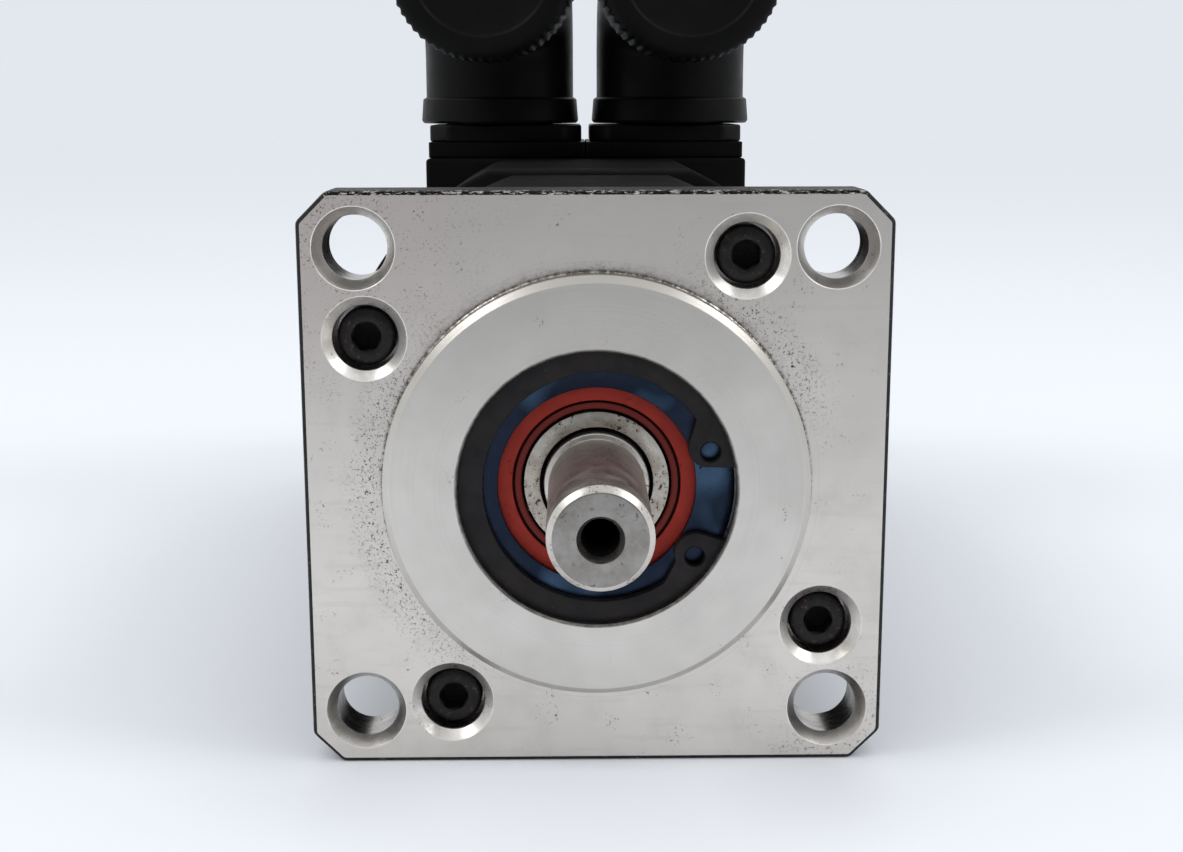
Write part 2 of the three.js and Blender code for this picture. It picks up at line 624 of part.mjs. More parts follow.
function clampCollar() {
  const blank = ring(SUN_HUB_RADIUS + TOUCH, COLLAR_RADIUS, COLLAR_FRONT, COLLAR_BACK, MEDIUM);
  const half = COLLAR_SLIT / 2;
  const slit = box(-half, half, COLLAR_FRONT - PAST, COLLAR_BACK + PAST, 0, COLLAR_RADIUS + PAST);
  const place = [0, COLLAR_MIDDLE, CLAMP_SCREW_HEIGHT];
  const shank = SCREW_RADIUS + SCREW_CLEARANCE;
  const head = SCREW_HEAD_RADIUS + SCREW_CLEARANCE;
  return cut(
    blank, slit,
    alongX(shank, -COLLAR_RADIUS, COLLAR_RADIUS).translate(place),
    alongX(head, CLAMP_HEAD_FACE - SCREW_HEAD_LENGTH - TOUCH, COLLAR_RADIUS).translate(place),
  );
}

function inputShaftParts() {
  add('sun_pinion', sunPinion(), FINISHES.gearSteel);
  add('clamp_collar', clampCollar(), FINISHES.gearSteel);
  const length = CLAMP_HEAD_FACE - SCREW_HEAD_LENGTH - CLAMP_SCREW_END;
  const screw = add('clamp_screw', socketScrew(length), FINISHES.screwSteel);
  screw.position.set(CLAMP_HEAD_FACE, COLLAR_MIDDLE, CLAMP_SCREW_HEIGHT);
  screw.rotation.z = Math.PI / 2;
}

// ---------------------------------------------------------------- gear housing and adapter

function gearHousing() {
  const outline = roundedSquare(GEAR_HOUSING_HALF, GEAR_HOUSING_ROUND);
  const blank = prism(outline, GEAR_HOUSING_FRONT, GEAR_HOUSING_BACK);
  const bore = turned([
    [0, GEAR_HOUSING_FRONT - PAST], [HOUSING_REGISTER, GEAR_HOUSING_FRONT - PAST],
    [HOUSING_REGISTER, HOUSING_REGISTER_BACK], [GEAR_HOUSING_BORE, HOUSING_REGISTER_BACK],
    [GEAR_HOUSING_BORE, GEAR_HOUSING_BACK + PAST], [0, GEAR_HOUSING_BACK + PAST],
  ]);
  const scallops = screwHoles(MOUNT_SCALLOP_RADIUS, MOUNT_HOLE_OFFSET * Math.SQRT2, BOLT_ANGLES,
    GEAR_HOUSING_FRONT - PAST, GEAR_HOUSING_BACK + PAST);
  const shank = SCREW_RADIUS + SCREW_CLEARANCE;
  const frontTaps = screwHoles(shank, SCREW_CIRCLE, SCREW_ANGLES, GEAR_HOUSING_FRONT - PAST,
    GEAR_HOUSING_FRONT + TAPPED_DEPTH);
  const rearTaps = screwHoles(shank, SCREW_CIRCLE, SCREW_ANGLES, GEAR_HOUSING_BACK - TAPPED_DEPTH,
    GEAR_HOUSING_BACK + PAST);
  return cut(blank, bore, ...scallops, ...frontTaps, ...rearTaps);
}

function adapterPlate() {
  const plate = prism(roundedSquare(BODY_HALF, BODY_ROUND), ADAPTER_FRONT, ADAPTER_BACK);
  const spigot = disc(GEAR_HOUSING_BORE - 0.1, ADAPTER_SPIGOT_FRONT, ADAPTER_FRONT + PAST);
  const shank = SCREW_RADIUS + SCREW_CLEARANCE;
  const seat = ADAPTER_HEAD_FACE - SCREW_HEAD_LENGTH;
  const access = alongX(PLUG_RADIUS + TOUCH, 0, BODY_HALF + PAST)
    .translate([0, COLLAR_MIDDLE, CLAMP_SCREW_HEIGHT]);
  return cut(
    join(plate, spigot),
    disc(ADAPTER_BORE, ADAPTER_SPIGOT_FRONT - PAST, ADAPTER_BACK + PAST, MEDIUM),
    ...screwHoles(shank, SCREW_CIRCLE, SCREW_ANGLES, ADAPTER_SPIGOT_FRONT - PAST, ADAPTER_BACK),
    ...screwHoles(SCREW_HEAD_RECESS, SCREW_CIRCLE, SCREW_ANGLES, seat, ADAPTER_BACK + PAST),
    ...screwHoles(shank, BOLT_CIRCLE, BOLT_ANGLES, BOLT_TAP_FRONT, ADAPTER_BACK + PAST),
    access,
  );
}

function accessPlug() {
  const hexTool = prism(hexagon(HEX_ACROSS_FLATS, 0), -PAST, HEX_DEPTH).rotate([0, 0, 90]);
  return cut(alongX(PLUG_RADIUS, PLUG_INNER_END, PLUG_OUTER_END), hexTool.translate([PLUG_OUTER_END, 0, 0]));
}

function gearCase() {
  add('gear_housing', gearHousing(), FINISHES.blackMetal);
  add('ring_gear', ringGear(), FINISHES.gearSteel);
  add('adapter_plate', adapterPlate(), FINISHES.blackMetal);
  add('access_plug', accessPlug(), FINISHES.plugPlastic).position.set(0, COLLAR_MIDDLE, CLAMP_SCREW_HEIGHT);
  placeScrews('adapter_screw', ADAPTER_SCREW_LENGTH, SCREW_CIRCLE, SCREW_ANGLES, ADAPTER_HEAD_FACE, true);
}

// ---------------------------------------------------------------- motor

function motorHousing() {
  const blank = prism(roundedSquare(BODY_HALF, BODY_ROUND), MOTOR_FRONT, MOTOR_BACK);
  const pad = box(-PAD_HALF, PAD_HALF, PAD_FRONT, MOTOR_BACK, PAD_BOTTOM, PAD_TOP);
  const seatBack = MOTOR_FRONT_BEARING + MOTOR_BEARING.width;
  const seatFront = MOTOR_FRONT_BEARING - TOUCH;
  const bore = turned([
    [0, MOTOR_FRONT - PAST], [MOTOR_LIP_RADIUS, MOTOR_FRONT - PAST], [MOTOR_LIP_RADIUS, seatFront],
    [MOTOR_SEAT_RADIUS, seatFront], [MOTOR_SEAT_RADIUS, seatBack], [MOTOR_BORE, seatBack],
    [MOTOR_BORE, MOTOR_BACK + PAST], [0, MOTOR_BACK + PAST],
  ]);
  const wireHole = upright(WIRE_HOLE_RADIUS, PAD_BOTTOM - PAST, PAD_TOP + PAST, SMALL);
  const wireHoles = [-1, 1].map((side) => wireHole.translate([side * CONNECTOR_X, CONNECTOR_Y, 0]));
  const shank = SCREW_RADIUS + SCREW_CLEARANCE;
  const boltHoles = screwHoles(shank, BOLT_CIRCLE, BOLT_ANGLES, MOTOR_FRONT - PAST, MOTOR_BACK + PAST);
  return cut(join(blank, pad), bore, ...wireHoles, ...boltHoles);
}

// One stator slot, or the coil side in it when a clearance is given.
function slotOutline(angle, clearance = 0) {
  const edge = (radius, side) => polar(radius, angle + side * (SLOT_HALF_ANGLE - clearance / radius));
  const inner = SLOT_INNER + clearance;
  const outer = SLOT_OUTER - clearance;
  return polygon([edge(inner, -1), edge(outer, -1), edge(outer, 1), edge(inner, 1)]);
}

function statorCore() {
  let core = ring(STATOR_BORE, STATOR_RADIUS, STACK_FRONT, STACK_BACK);
  for (let slot = 0; slot < SLOT_COUNT; slot++) {
    const angle = TAU * slot / SLOT_COUNT;
    const edge = (radius, side) => polar(radius, angle + side * SLOT_MOUTH_HALF_ANGLE);
    const inner = STATOR_BORE - PAST;
    const outer = SLOT_INNER + 0.2;
    const mouthOutline = polygon([edge(inner, -1), edge(outer, -1), edge(outer, 1), edge(inner, 1)]);
    core = cut(core, prism(slotOutline(angle), STACK_FRONT - PAST, STACK_BACK + PAST),
      prism(mouthOutline, STACK_FRONT - PAST, STACK_BACK + PAST));
  }
  return core;
}

// End turns at both ends of the stack, joined by the coil sides in the slots.
function statorWinding() {
  const endTurns = (y0, y1) => ring(SLOT_INNER + COIL_CLEARANCE, COIL_END_RADIUS, y0, y1, MEDIUM);
  let winding = join(
    endTurns(STACK_FRONT - COIL_OVERHANG, STACK_FRONT - COIL_CLEARANCE),
    endTurns(STACK_BACK + COIL_CLEARANCE, STACK_BACK + COIL_OVERHANG),
  );
  for (let slot = 0; slot < SLOT_COUNT; slot++) {
    const side = slotOutline(TAU * slot / SLOT_COUNT, COIL_CLEARANCE);
    winding = winding.add(prism(side, STACK_FRONT - 2 * COIL_CLEARANCE, STACK_BACK + 2 * COIL_CLEARANCE));
  }
  return winding;
}

function rotorShaft() {
  const [front, back] = ROTOR_SHOULDERS;
  const seat = MOTOR_BEARING.seat;
  return turned([
    [0, ROTOR_FRONT], [seat, ROTOR_FRONT], [seat, front], [ROTOR_RADIUS, front], [ROTOR_RADIUS, back],
    [seat, back], [seat, ROTOR_STUB_FRONT], [ROTOR_STUB_RADIUS, ROTOR_STUB_FRONT],
    [ROTOR_STUB_RADIUS, ROTOR_BACK], [0, ROTOR_BACK],
  ], MEDIUM);
}

function rearBracket() {
  const outside = MOTOR_BORE - 0.1;
  const seatFront = MOTOR_REAR_BEARING - TOUCH;
  const plate = turned([
    [MOTOR_LIP_RADIUS, BRACKET_FRONT], [outside, BRACKET_FRONT], [outside, BRACKET_BACK],
    [MOTOR_SEAT_RADIUS, BRACKET_BACK], [MOTOR_SEAT_RADIUS, seatFront], [MOTOR_LIP_RADIUS, seatFront],
  ]);
  return join(plate, ...screwHoles(POST_RADIUS, POST_CIRCLE, PLANET_ANGLES, BRACKET_BACK - PAST, POST_BACK));
}

function rearCover() {
  const seat = BOLT_HEAD_FACE - SCREW_HEAD_LENGTH;
  return cut(
    prism(roundedSquare(BODY_HALF, BODY_ROUND), COVER_FRONT, COVER_BACK),
    disc(COVER_CAVITY_RADIUS, COVER_FRONT - PAST, COVER_CAVITY_BACK),
    ...screwHoles(SCREW_RADIUS + SCREW_CLEARANCE, BOLT_CIRCLE, BOLT_ANGLES, COVER_FRONT - PAST, COVER_BACK),
    ...screwHoles(SCREW_HEAD_RECESS, BOLT_CIRCLE, BOLT_ANGLES, seat, COVER_BACK + PAST),
  );
}

function motor() {
  add('motor_housing', motorHousing(), FINISHES.blackMetal);
  add('stator_core', statorCore(), FINISHES.lamination);
  add('stator_winding', statorWinding(), FINISHES.copper);
  add('rotor_shaft', rotorShaft(), FINISHES.shaftSteel);
  const rotorRing = (inner, outer) => ring(inner + TOUCH, outer, STACK_FRONT, STACK_BACK, MEDIUM);
  add('rotor_core', rotorRing(ROTOR_RADIUS, ROTOR_CORE_RADIUS), FINISHES.lamination);
  add('rotor_magnet', rotorRing(ROTOR_CORE_RADIUS, MAGNET_RADIUS), FINISHES.magnet);
  plainRings('motor_front_bearing', MOTOR_FRONT_BEARING, MOTOR_BEARING);
  plainRings('motor_rear_bearing', MOTOR_REAR_BEARING, MOTOR_BEARING);
  add('rear_bracket', rearBracket(), FINISHES.flangeMetal);
  const discInner = ROTOR_STUB_RADIUS + TOUCH;
  const codeDisc = ring(discInner, DISC_RADIUS, DISC_FRONT, DISC_FRONT + DISC_THICKNESS, MEDIUM);
  add('encoder_disc', codeDisc, FINISHES.bearingSteel);
  const board = disc(BOARD_RADIUS, POST_BACK + TOUCH, POST_BACK + BOARD_THICKNESS, MEDIUM);
  add('encoder_board', board, FINISHES.boardGreen);
  add('rear_cover', rearCover(), FINISHES.blackMetal);
  const boltLength = BOLT_HEAD_FACE - SCREW_HEAD_LENGTH - BOLT_FRONT;
  placeScrews('tie_bolt', boltLength, BOLT_CIRCLE, BOLT_ANGLES, BOLT_HEAD_FACE, true);
}

// ---------------------------------------------------------------- connectors

function connectorBase(side) {
  const [inner, outer] = BASE_SIDES.map((x) => x - CONNECTOR_X);
  const half = BASE_HALF_LENGTH;
  const plate = box(BASE_INNER_EDGE - CONNECTOR_X, outer, -half, half, BASE_BOTTOM, BASE_PLATE_TOP);
  const boss = box(inner, outer, -half, half, BASE_PLATE_TOP - 0.5, BASE_TOP);
  const base = cut(join(plate, boss), upright(BASE_BORE, BASE_BOTTOM - PAST, BASE_TOP + PAST));
  return side > 0 ? base : base.rotate([0, 0, 180]);
}

// The angled body: spigot, swivel collar and neck rising to a barrel that points along -Y.
function connectorElbow() {
  const barrel = disc(BARREL_RADIUS, -BARREL_LENGTH, 0, MEDIUM).translate([0, 0, BARREL_HEIGHT]);
  const shoulder = solid(new THREE.SphereGeometry(BARREL_RADIUS, 16, 10)).translate([0, 0, BARREL_HEIGHT]);
  const outside = join(
    upright(SPIGOT_RADIUS, SPIGOT_BOTTOM, COLLAR_RING_BOTTOM + PAST),
    upright(COLLAR_RING_RADIUS, COLLAR_RING_BOTTOM, COLLAR_RING_TOP),
    upright(NECK_RADIUS, COLLAR_RING_TOP - PAST, BARREL_HEIGHT),
    barrel, shoulder,
  );
  const socket = disc(SOCKET_RADIUS, -BARREL_LENGTH - PAST, SOCKET_LENGTH - BARREL_LENGTH, MEDIUM);
  const throat = disc(PASSAGE_RADIUS, SOCKET_LENGTH - BARREL_LENGTH - PAST, 0, SMALL);
  return cut(
    outside,
    socket.translate([0, 0, BARREL_HEIGHT]),
    throat.translate([0, 0, BARREL_HEIGHT]),
    upright(PASSAGE_RADIUS, SPIGOT_BOTTOM - PAST, BARREL_HEIGHT, SMALL),
  );
}

function contactInsert(contacts) {
  let insert = disc(INSERT_RADIUS, -INSERT_FRONT, -INSERT_BACK, MEDIUM);
  for (let k = 0; k < contacts; k++) {
    const [x, z] = polar(CONTACT_CIRCLE, TAU * k / contacts);
    const pin = disc(CONTACT_RADIUS, -CONTACT_TIPS, -INSERT_FRONT + 0.5, 6);
    insert = insert.add(pin.translate([x, 0, z]));
  }
  return insert.translate([0, 0, BARREL_HEIGHT]);
}

function dustCap() {
  const points = [];
  for (let k = 0; k < 2 * CAP_KNURLS; k++) {
    const radius = k % 2 ? CAP_RADIUS - CAP_KNURL_DEPTH : CAP_RADIUS;
    points.push(polar(radius, TAU * k / (2 * CAP_KNURLS)));
  }
  return cut(
    prism(polygon(points), -CAP_FRONT, -CAP_BACK),
    disc(CAP_INNER_RADIUS, -CAP_DISC_BACK, -CAP_BACK + PAST, MEDIUM),
    disc(CAP_RECESS_RADIUS, -CAP_FRONT - PAST, -CAP_FRONT + CAP_RECESS_DEPTH, MEDIUM),
  ).translate([0, 0, BARREL_HEIGHT]);
}

function connector(name, side, contacts) {
  const stand = new THREE.Group();
  stand.position.set(side * CONNECTOR_X, CONNECTOR_Y, 0);
  assembly.add(stand);
  add(`${name}_connector_base`, connectorBase(side), FINISHES.blackMetal, stand);
  const swivel = new THREE.Group();
  swivel.rotation.z = side * degrees(BARREL_SPLAY);
  stand.add(swivel);
  add(`${name}_connector_elbow`, connectorElbow(), FINISHES.blackMetal, swivel);
  add(`${name}_contact_insert`, contactInsert(contacts), FINISHES.insertPlastic, swivel);
  add(`${name}_dust_cap`, dustCap(), FINISHES.blackPlastic, swivel);
}

outputEnd();
add('output_shaft', outputShaft(), FINISHES.shaftSteel);
planets();
inputShaftParts();
gearCase();
motor();
connector('power', 1, 6);
connector('signal', -1, 9);

assembly.position.set(0, -(SHAFT_TIP + COVER_BACK) / 2, FLANGE_HALF);

export default assembly;
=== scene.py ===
import math

import bmesh
import bpy
from mathutils import Matrix, Vector


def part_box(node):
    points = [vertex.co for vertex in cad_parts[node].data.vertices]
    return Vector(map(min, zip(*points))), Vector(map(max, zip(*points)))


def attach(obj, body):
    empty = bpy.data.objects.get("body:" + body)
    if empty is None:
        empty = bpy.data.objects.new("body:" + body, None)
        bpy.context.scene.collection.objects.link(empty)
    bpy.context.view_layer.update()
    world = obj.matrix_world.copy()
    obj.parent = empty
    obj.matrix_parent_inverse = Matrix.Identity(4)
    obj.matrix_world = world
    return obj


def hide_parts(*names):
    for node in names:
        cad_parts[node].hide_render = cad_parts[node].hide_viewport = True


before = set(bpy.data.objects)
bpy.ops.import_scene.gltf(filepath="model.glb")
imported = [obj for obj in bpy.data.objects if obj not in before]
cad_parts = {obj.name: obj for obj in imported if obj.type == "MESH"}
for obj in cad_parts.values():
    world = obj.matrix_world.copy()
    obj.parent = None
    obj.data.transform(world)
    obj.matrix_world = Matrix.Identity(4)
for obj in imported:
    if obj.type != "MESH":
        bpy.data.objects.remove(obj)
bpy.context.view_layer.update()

MM = 0.001
TAU = 2 * math.pi

# Sizes repeated from the CAD part, in millimetres.
PILOT_HEIGHT = 2.5
FLANGE_HALF, FLANGE_CORNER, FLANGE_BACK = 27.5, 2.8, 6.5
PILOT_RADIUS, BORE_RADIUS, BORE_MOUTH = 20.0, 13.0, 13.18
HUB_RADIUS, HUB_BACK = 19.0, 20.4
MOUNT_OFFSET, MOUNT_RADIUS, MOUNT_MOUTH, MOUNT_MOUTH_DEPTH = 22.27, 3.0, 3.85, 1.35
SCREW_CIRCLE = 25.59
SCREW_ANGLES = (57, 147, 237, 327)
HEX_TURNS = (28, 8, 1, -6)
SCREW_FACE = 1.6
HEAD_RADIUS, HEAD_LENGTH, SHANK_RADIUS = 2.75, 3.0, 1.5
COUNTERBORE, COUNTERBORE_MOUTH, COUNTERBORE_MOUTH_DEPTH = 3.06, 3.95, 0.93
CIRCLIP_FRONT, CIRCLIP_BACK = -1.5, -0.3
CIRCLIP_ENDS = (8.0, 337.0)     # where the ring starts and stops, in degrees
CIRCLIP_BAND = (36.0, 303.0)    # its plain band, between the two lugs
UPPER_LUG = {"hole": (10.6, 3.4), "nose": (10.3, 3.75), "radius": 1.8, "arc": (165, 270)}
LOWER_LUG = {"hole": (9.2, -6.65), "nose": (9.3, -6.4), "radius": 2.0, "arc": (75, 200)}
SHAFT_TIP, SHAFT_RADIUS, SEAT_RADIUS = -20.0, 4.55, 4.97
BALLS = 7
TIE_BOLT_CIRCLE = 26
BODY_HALF, BODY_ROUND = 27.5, 30.0
CONNECTOR_X, CONNECTOR_Y, BARREL_HEIGHT, BARREL_SPLAY = 12.7, 100.0, 53.0, 2.0
BASE_SIDES, BASE_INNER_EDGE = (0.6, 22.7), 0.05
NECK_RADIUS, COLLAR_RING_TOP = 10.95, 36.2
ADAPTER_SPAN, COVER_SPAN = (44.02, 54.08), (112.02, 128)
CLAMP_PLACE = (7.2, 48.5, 8.8)
ACCESS_PLACE = (0, 48.5, 8.8)

flange_low, flange_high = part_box("output_flange")
ORIGIN = Vector((0, flange_low.y + PILOT_HEIGHT * MM, (flange_low.z + flange_high.z) / 2))
TO_ROW = Matrix.Translation(ORIGIN) @ Matrix.Scale(MM, 4)
BACKWARDS = Matrix.Rotation(math.pi, 4, "Z")            # turns -Y, where a lathe's head end faces, to +Y
SIDEWAYS = Matrix.Rotation(math.pi / 2, 4, "Z")         # turns -Y to +X
UPRIGHT = Matrix.Rotation(math.radians(-90), 4, "X")    # turns -Y to +Z


# ---------------------------------------------------------------- outlines and profiles

def polar(radius, degrees):
    angle = math.radians(degrees)
    return (radius * math.cos(angle), radius * math.sin(angle))


def soften(points, radius, steps=3, closed=True):
    """Rounds the corners of a profile or outline, by up to half of each side."""
    result = []
    count = len(points)
    for i, point in enumerate(points):
        corner = Vector(point)
        before = Vector(points[i - 1]) - corner
        after = Vector(points[(i + 1) % count]) - corner
        at_end = not closed and i in (0, count - 1)
        if at_end or before.angle(-after, 0) < math.radians(12):
            result.append(tuple(corner))
            continue
        start = corner + before.normalized() * min(radius, 0.45 * before.length)
        end = corner + after.normalized() * min(radius, 0.45 * after.length)
        for k in range(steps + 1):
            t = k / steps
            result.append(tuple((1 - t) ** 2 * start + 2 * t * (1 - t) * corner + t * t * end))
    return result


def inset(points, distance):
    """The outline moved inwards, each point along the mean of its two sides' normals."""
    area = sum(a[0] * b[1] - a[1] * b[0] for a, b in zip(points, points[1:] + points[:1]))
    sign = 1 if area > 0 else -1
    moved = []
    for i, point in enumerate(points):
        here = Vector(point)
        ahead = (Vector(points[(i + 1) % len(points)]) - here).normalized()
        behind = (here - Vector(points[i - 1])).normalized()
        n1 = Vector((-behind.y, behind.x)) * sign
        n2 = Vector((-ahead.y, ahead.x)) * sign
        moved.append(tuple(here + (n1 + n2) * (distance / max(0.5, 1 + n1.dot(n2)))))
    return moved


def chamfered_square(half, corner):
    c = half - corner
    points = [(-c, -half), (c, -half), (half, -c), (half, c), (c, half), (-c, half), (-half, c), (-half, -c)]
    return soften(points, 0.35)


def rounded_square(half, radius, steps=14):
    """A square whose corners are cut by a circle about its centre."""
    start = math.degrees(math.acos(half / radius))
    points = []
    for quarter in range(4):
        for k in range(steps + 1):
            points.append(polar(radius, 90 * quarter + start + (90 - 2 * start) * k / steps))
    return points


def scalloped_square(half, radius, scallop, offset):
    """The gear housing's outline: a rounded square with a round notch at each mounting hole."""
    start = math.degrees(math.acos(half / radius))
    reach = offset * math.sqrt(2)
    cosine = (radius ** 2 + reach ** 2 - scallop ** 2) / (2 * radius * reach)
    notch = math.degrees(math.acos(cosine))
    points = []
    for quarter in range(4):
        middle = 90 * quarter + 45
        points += [polar(radius, 90 * quarter + start + (45 - notch - start) * k / 6) for k in range(6)]
        centre = Vector(polar(reach, middle))
        first = Vector(polar(radius, middle - notch)) - centre
        last = Vector(polar(radius, middle + notch)) - centre
        for k in range(11):
            points.append(tuple(centre + first.lerp(last, k / 10).normalized() * scallop))
        points += [polar(radius, middle + notch + (45 - notch - start) * (k + 1) / 6) for k in range(6)]
    return points


def rectangle(x0, x1, z0, z1, radius, steps=6):
    return soften([(x0, z0), (x1, z0), (x1, z1), (x0, z1)], radius, steps)


def connector_place(side):
    return TO_ROW @ Matrix.Translation((side * CONNECTOR_X, CONNECTOR_Y, 0))


# ---------------------------------------------------------------- mesh building

def bridge(bm, lower, upper, material):
    count = max(len(lower), len(upper))
    for i in range(count):
        j = (i + 1) % count
        if len(lower) == 1:
            face = bm.faces.new((lower[0], upper[j], upper[i]))
        elif len(upper) == 1:
            face = bm.faces.new((lower[i], lower[j], upper[0]))
        else:
            face = bm.faces.new((lower[i], lower[j], upper[j], upper[i]))
        face.material_index = material


def lathe(bm, profile, segments=96, closed=True, material=0, centre=(0, 0), start=0.0):
    """Revolves (radius, y) points about the shaft's direction; a radius may be a function of the angle."""
    rings = []
    for radius, y in profile:
        if not callable(radius) and radius < 1e-6:
            rings.append([bm.verts.new((centre[0], y, centre[1]))])
            continue
        ring = []
        for k in range(segments):
            angle = start + 360 * k / segments
            x, z = polar(radius(angle) if callable(radius) else radius, angle)
            ring.append(bm.verts.new((centre[0] + x, y, centre[1] + z)))
        rings.append(ring)
    pairs = list(zip(rings, rings[1:]))
    if closed and len(rings[0]) > 1 and len(rings[-1]) > 1:
        pairs.append((rings[-1], rings[0]))
    for lower, upper in pairs:
        bridge(bm, lower, upper, material)
    return rings


def cap(bm, loops, material):
    """Fills the flat face between the first loop and the holes in it."""
    edges = []
    for loop in loops:
        for a, b in zip(loop, loop[1:] + loop[:1]):
            edges.append(bm.edges.get((a, b)) or bm.edges.new((a, b)))
    filled = bmesh.ops.triangle_fill(bm, use_beauty=True, use_dissolve=False, edges=edges)
    for item in filled["geom"]:
        if isinstance(item, bmesh.types.BMFace):
            item.material_index = material


def prism(bm, outline, y0, y1, edge=0.3, holes=(), faces=(0, 0), side=0, hole_material=0):
    """An outline drawn in (x, z) between y0 and y1, with broken edges.
    Each hole is (centre, profile, segments). A profile runs from one face to the other, or to the axis."""
    corners = [(edge * (1 - math.sin(a)), edge * (1 - math.cos(a))) for a in (0, TAU / 12, TAU / 6, TAU / 4)]
    levels = [(step, y0 + rise) for step, rise in corners]
    levels += [(step, y1 - rise) for step, rise in reversed(corners)]
    rings = [[bm.verts.new((x, y, z)) for x, z in inset(outline, step)] for step, y in levels]
    for lower, upper in zip(rings, rings[1:]):
        bridge(bm, lower, upper, side)
    fronts, backs = [rings[0]], [rings[-1]]
    for centre, profile, segments in holes:
        walls = lathe(bm, profile, segments, closed=False, material=hole_material, centre=centre)
        for wall, (_, y) in ((walls[0], profile[0]), (walls[-1], profile[-1])):
            if len(wall) > 1:
                (fronts if abs(y - y0) < abs(y - y1) else backs).append(wall)
    cap(bm, fronts, faces[0])
    cap(bm, backs, faces[1])


def paint(bm, material, radii, depths, centre=(0, 0)):
    """Gives a material to the faces whose middle lies between two radii and two depths."""
    for face in bm.faces:
        middle = face.calc_center_median()
        radius = math.hypot(middle.x - centre[0], middle.z - centre[1])
        if radii[0] < radius < radii[1] and depths[0] < middle.y < depths[1]:
            face.material_index = material


def straight_hole(centre, radius, y0, y1, edge=0.15, segments=48):
    profile = [(radius + edge, y0), (radius, y0 + edge), (radius, y1 - edge), (radius + edge, y1)]
    return (centre, profile, segments)


def finish_mesh(bm, name, materials, matrix=TO_ROW, sharp=32):
    bmesh.ops.recalc_face_normals(bm, faces=bm.faces)
    bm.transform(matrix)
    for face in bm.faces:
        face.smooth = True
    mesh = bpy.data.meshes.new(name)
    bm.to_mesh(mesh)
    bm.free()
    mesh.set_sharp_from_angle(angle=math.radians(sharp))
    for material in materials:
        mesh.materials.append(material)
    piece = bpy.data.objects.new(name, mesh)
    bpy.context.scene.collection.objects.link(piece)
    return piece


def fit(piece, body, node):
    """The piece rides on a body and stands for its CAD node, which it hides."""
    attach(piece, body)
    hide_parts(node)


def build(bm, node, materials, body, matrix=TO_ROW, sharp=32):
    """The finished mesh, named after the CAD node that it stands for."""
    fit(finish_mesh(bm, node + "_fine", materials, matrix, sharp), body, node)


def combine(piece, tool, operation, sharp=32):
    """Joins or cuts a piece with a tool, which is used up."""
    modifier = piece.modifiers.new("combine", "BOOLEAN")
    modifier.object = tool
    modifier.operation = operation
    modifier.solver = "EXACT"
    result = piece.evaluated_get(bpy.context.evaluated_depsgraph_get())
    mesh = bpy.data.meshes.new_from_object(result)
    piece.modifiers.clear()
    old = piece.data
    piece.data = mesh
    bpy.data.meshes.remove(old)
    bpy.data.objects.remove(tool)
    mesh.set_sharp_from_angle(angle=math.radians(sharp))


# ---------------------------------------------------------------- procedural finishes

def add_node(tree, kind, **sockets):
    """Adds a node. Each socket takes a number, a colour or another node's output."""
    made = tree.nodes.new(kind)
    for name, value in sockets.items():
        socket = made.inputs[name.replace("_", " ")]
        if isinstance(value, (int, float, tuple)):
            socket.default_value = value
        else:
            tree.links.new(value.outputs[0] if hasattr(value, "outputs") else value, socket)
    return made


def map_range(tree, value, low, high, floor=0.0, ceiling=1.0):
    limits = {"From_Min": low, "From_Max": high, "To_Min": floor, "To_Max": ceiling}
    return add_node(tree, "ShaderNodeMapRange", Value=value, **limits).outputs[0]


NOISE_LOW, NOISE_HIGH = 0.3, 0.7     # the range that a noise's value mostly stays in


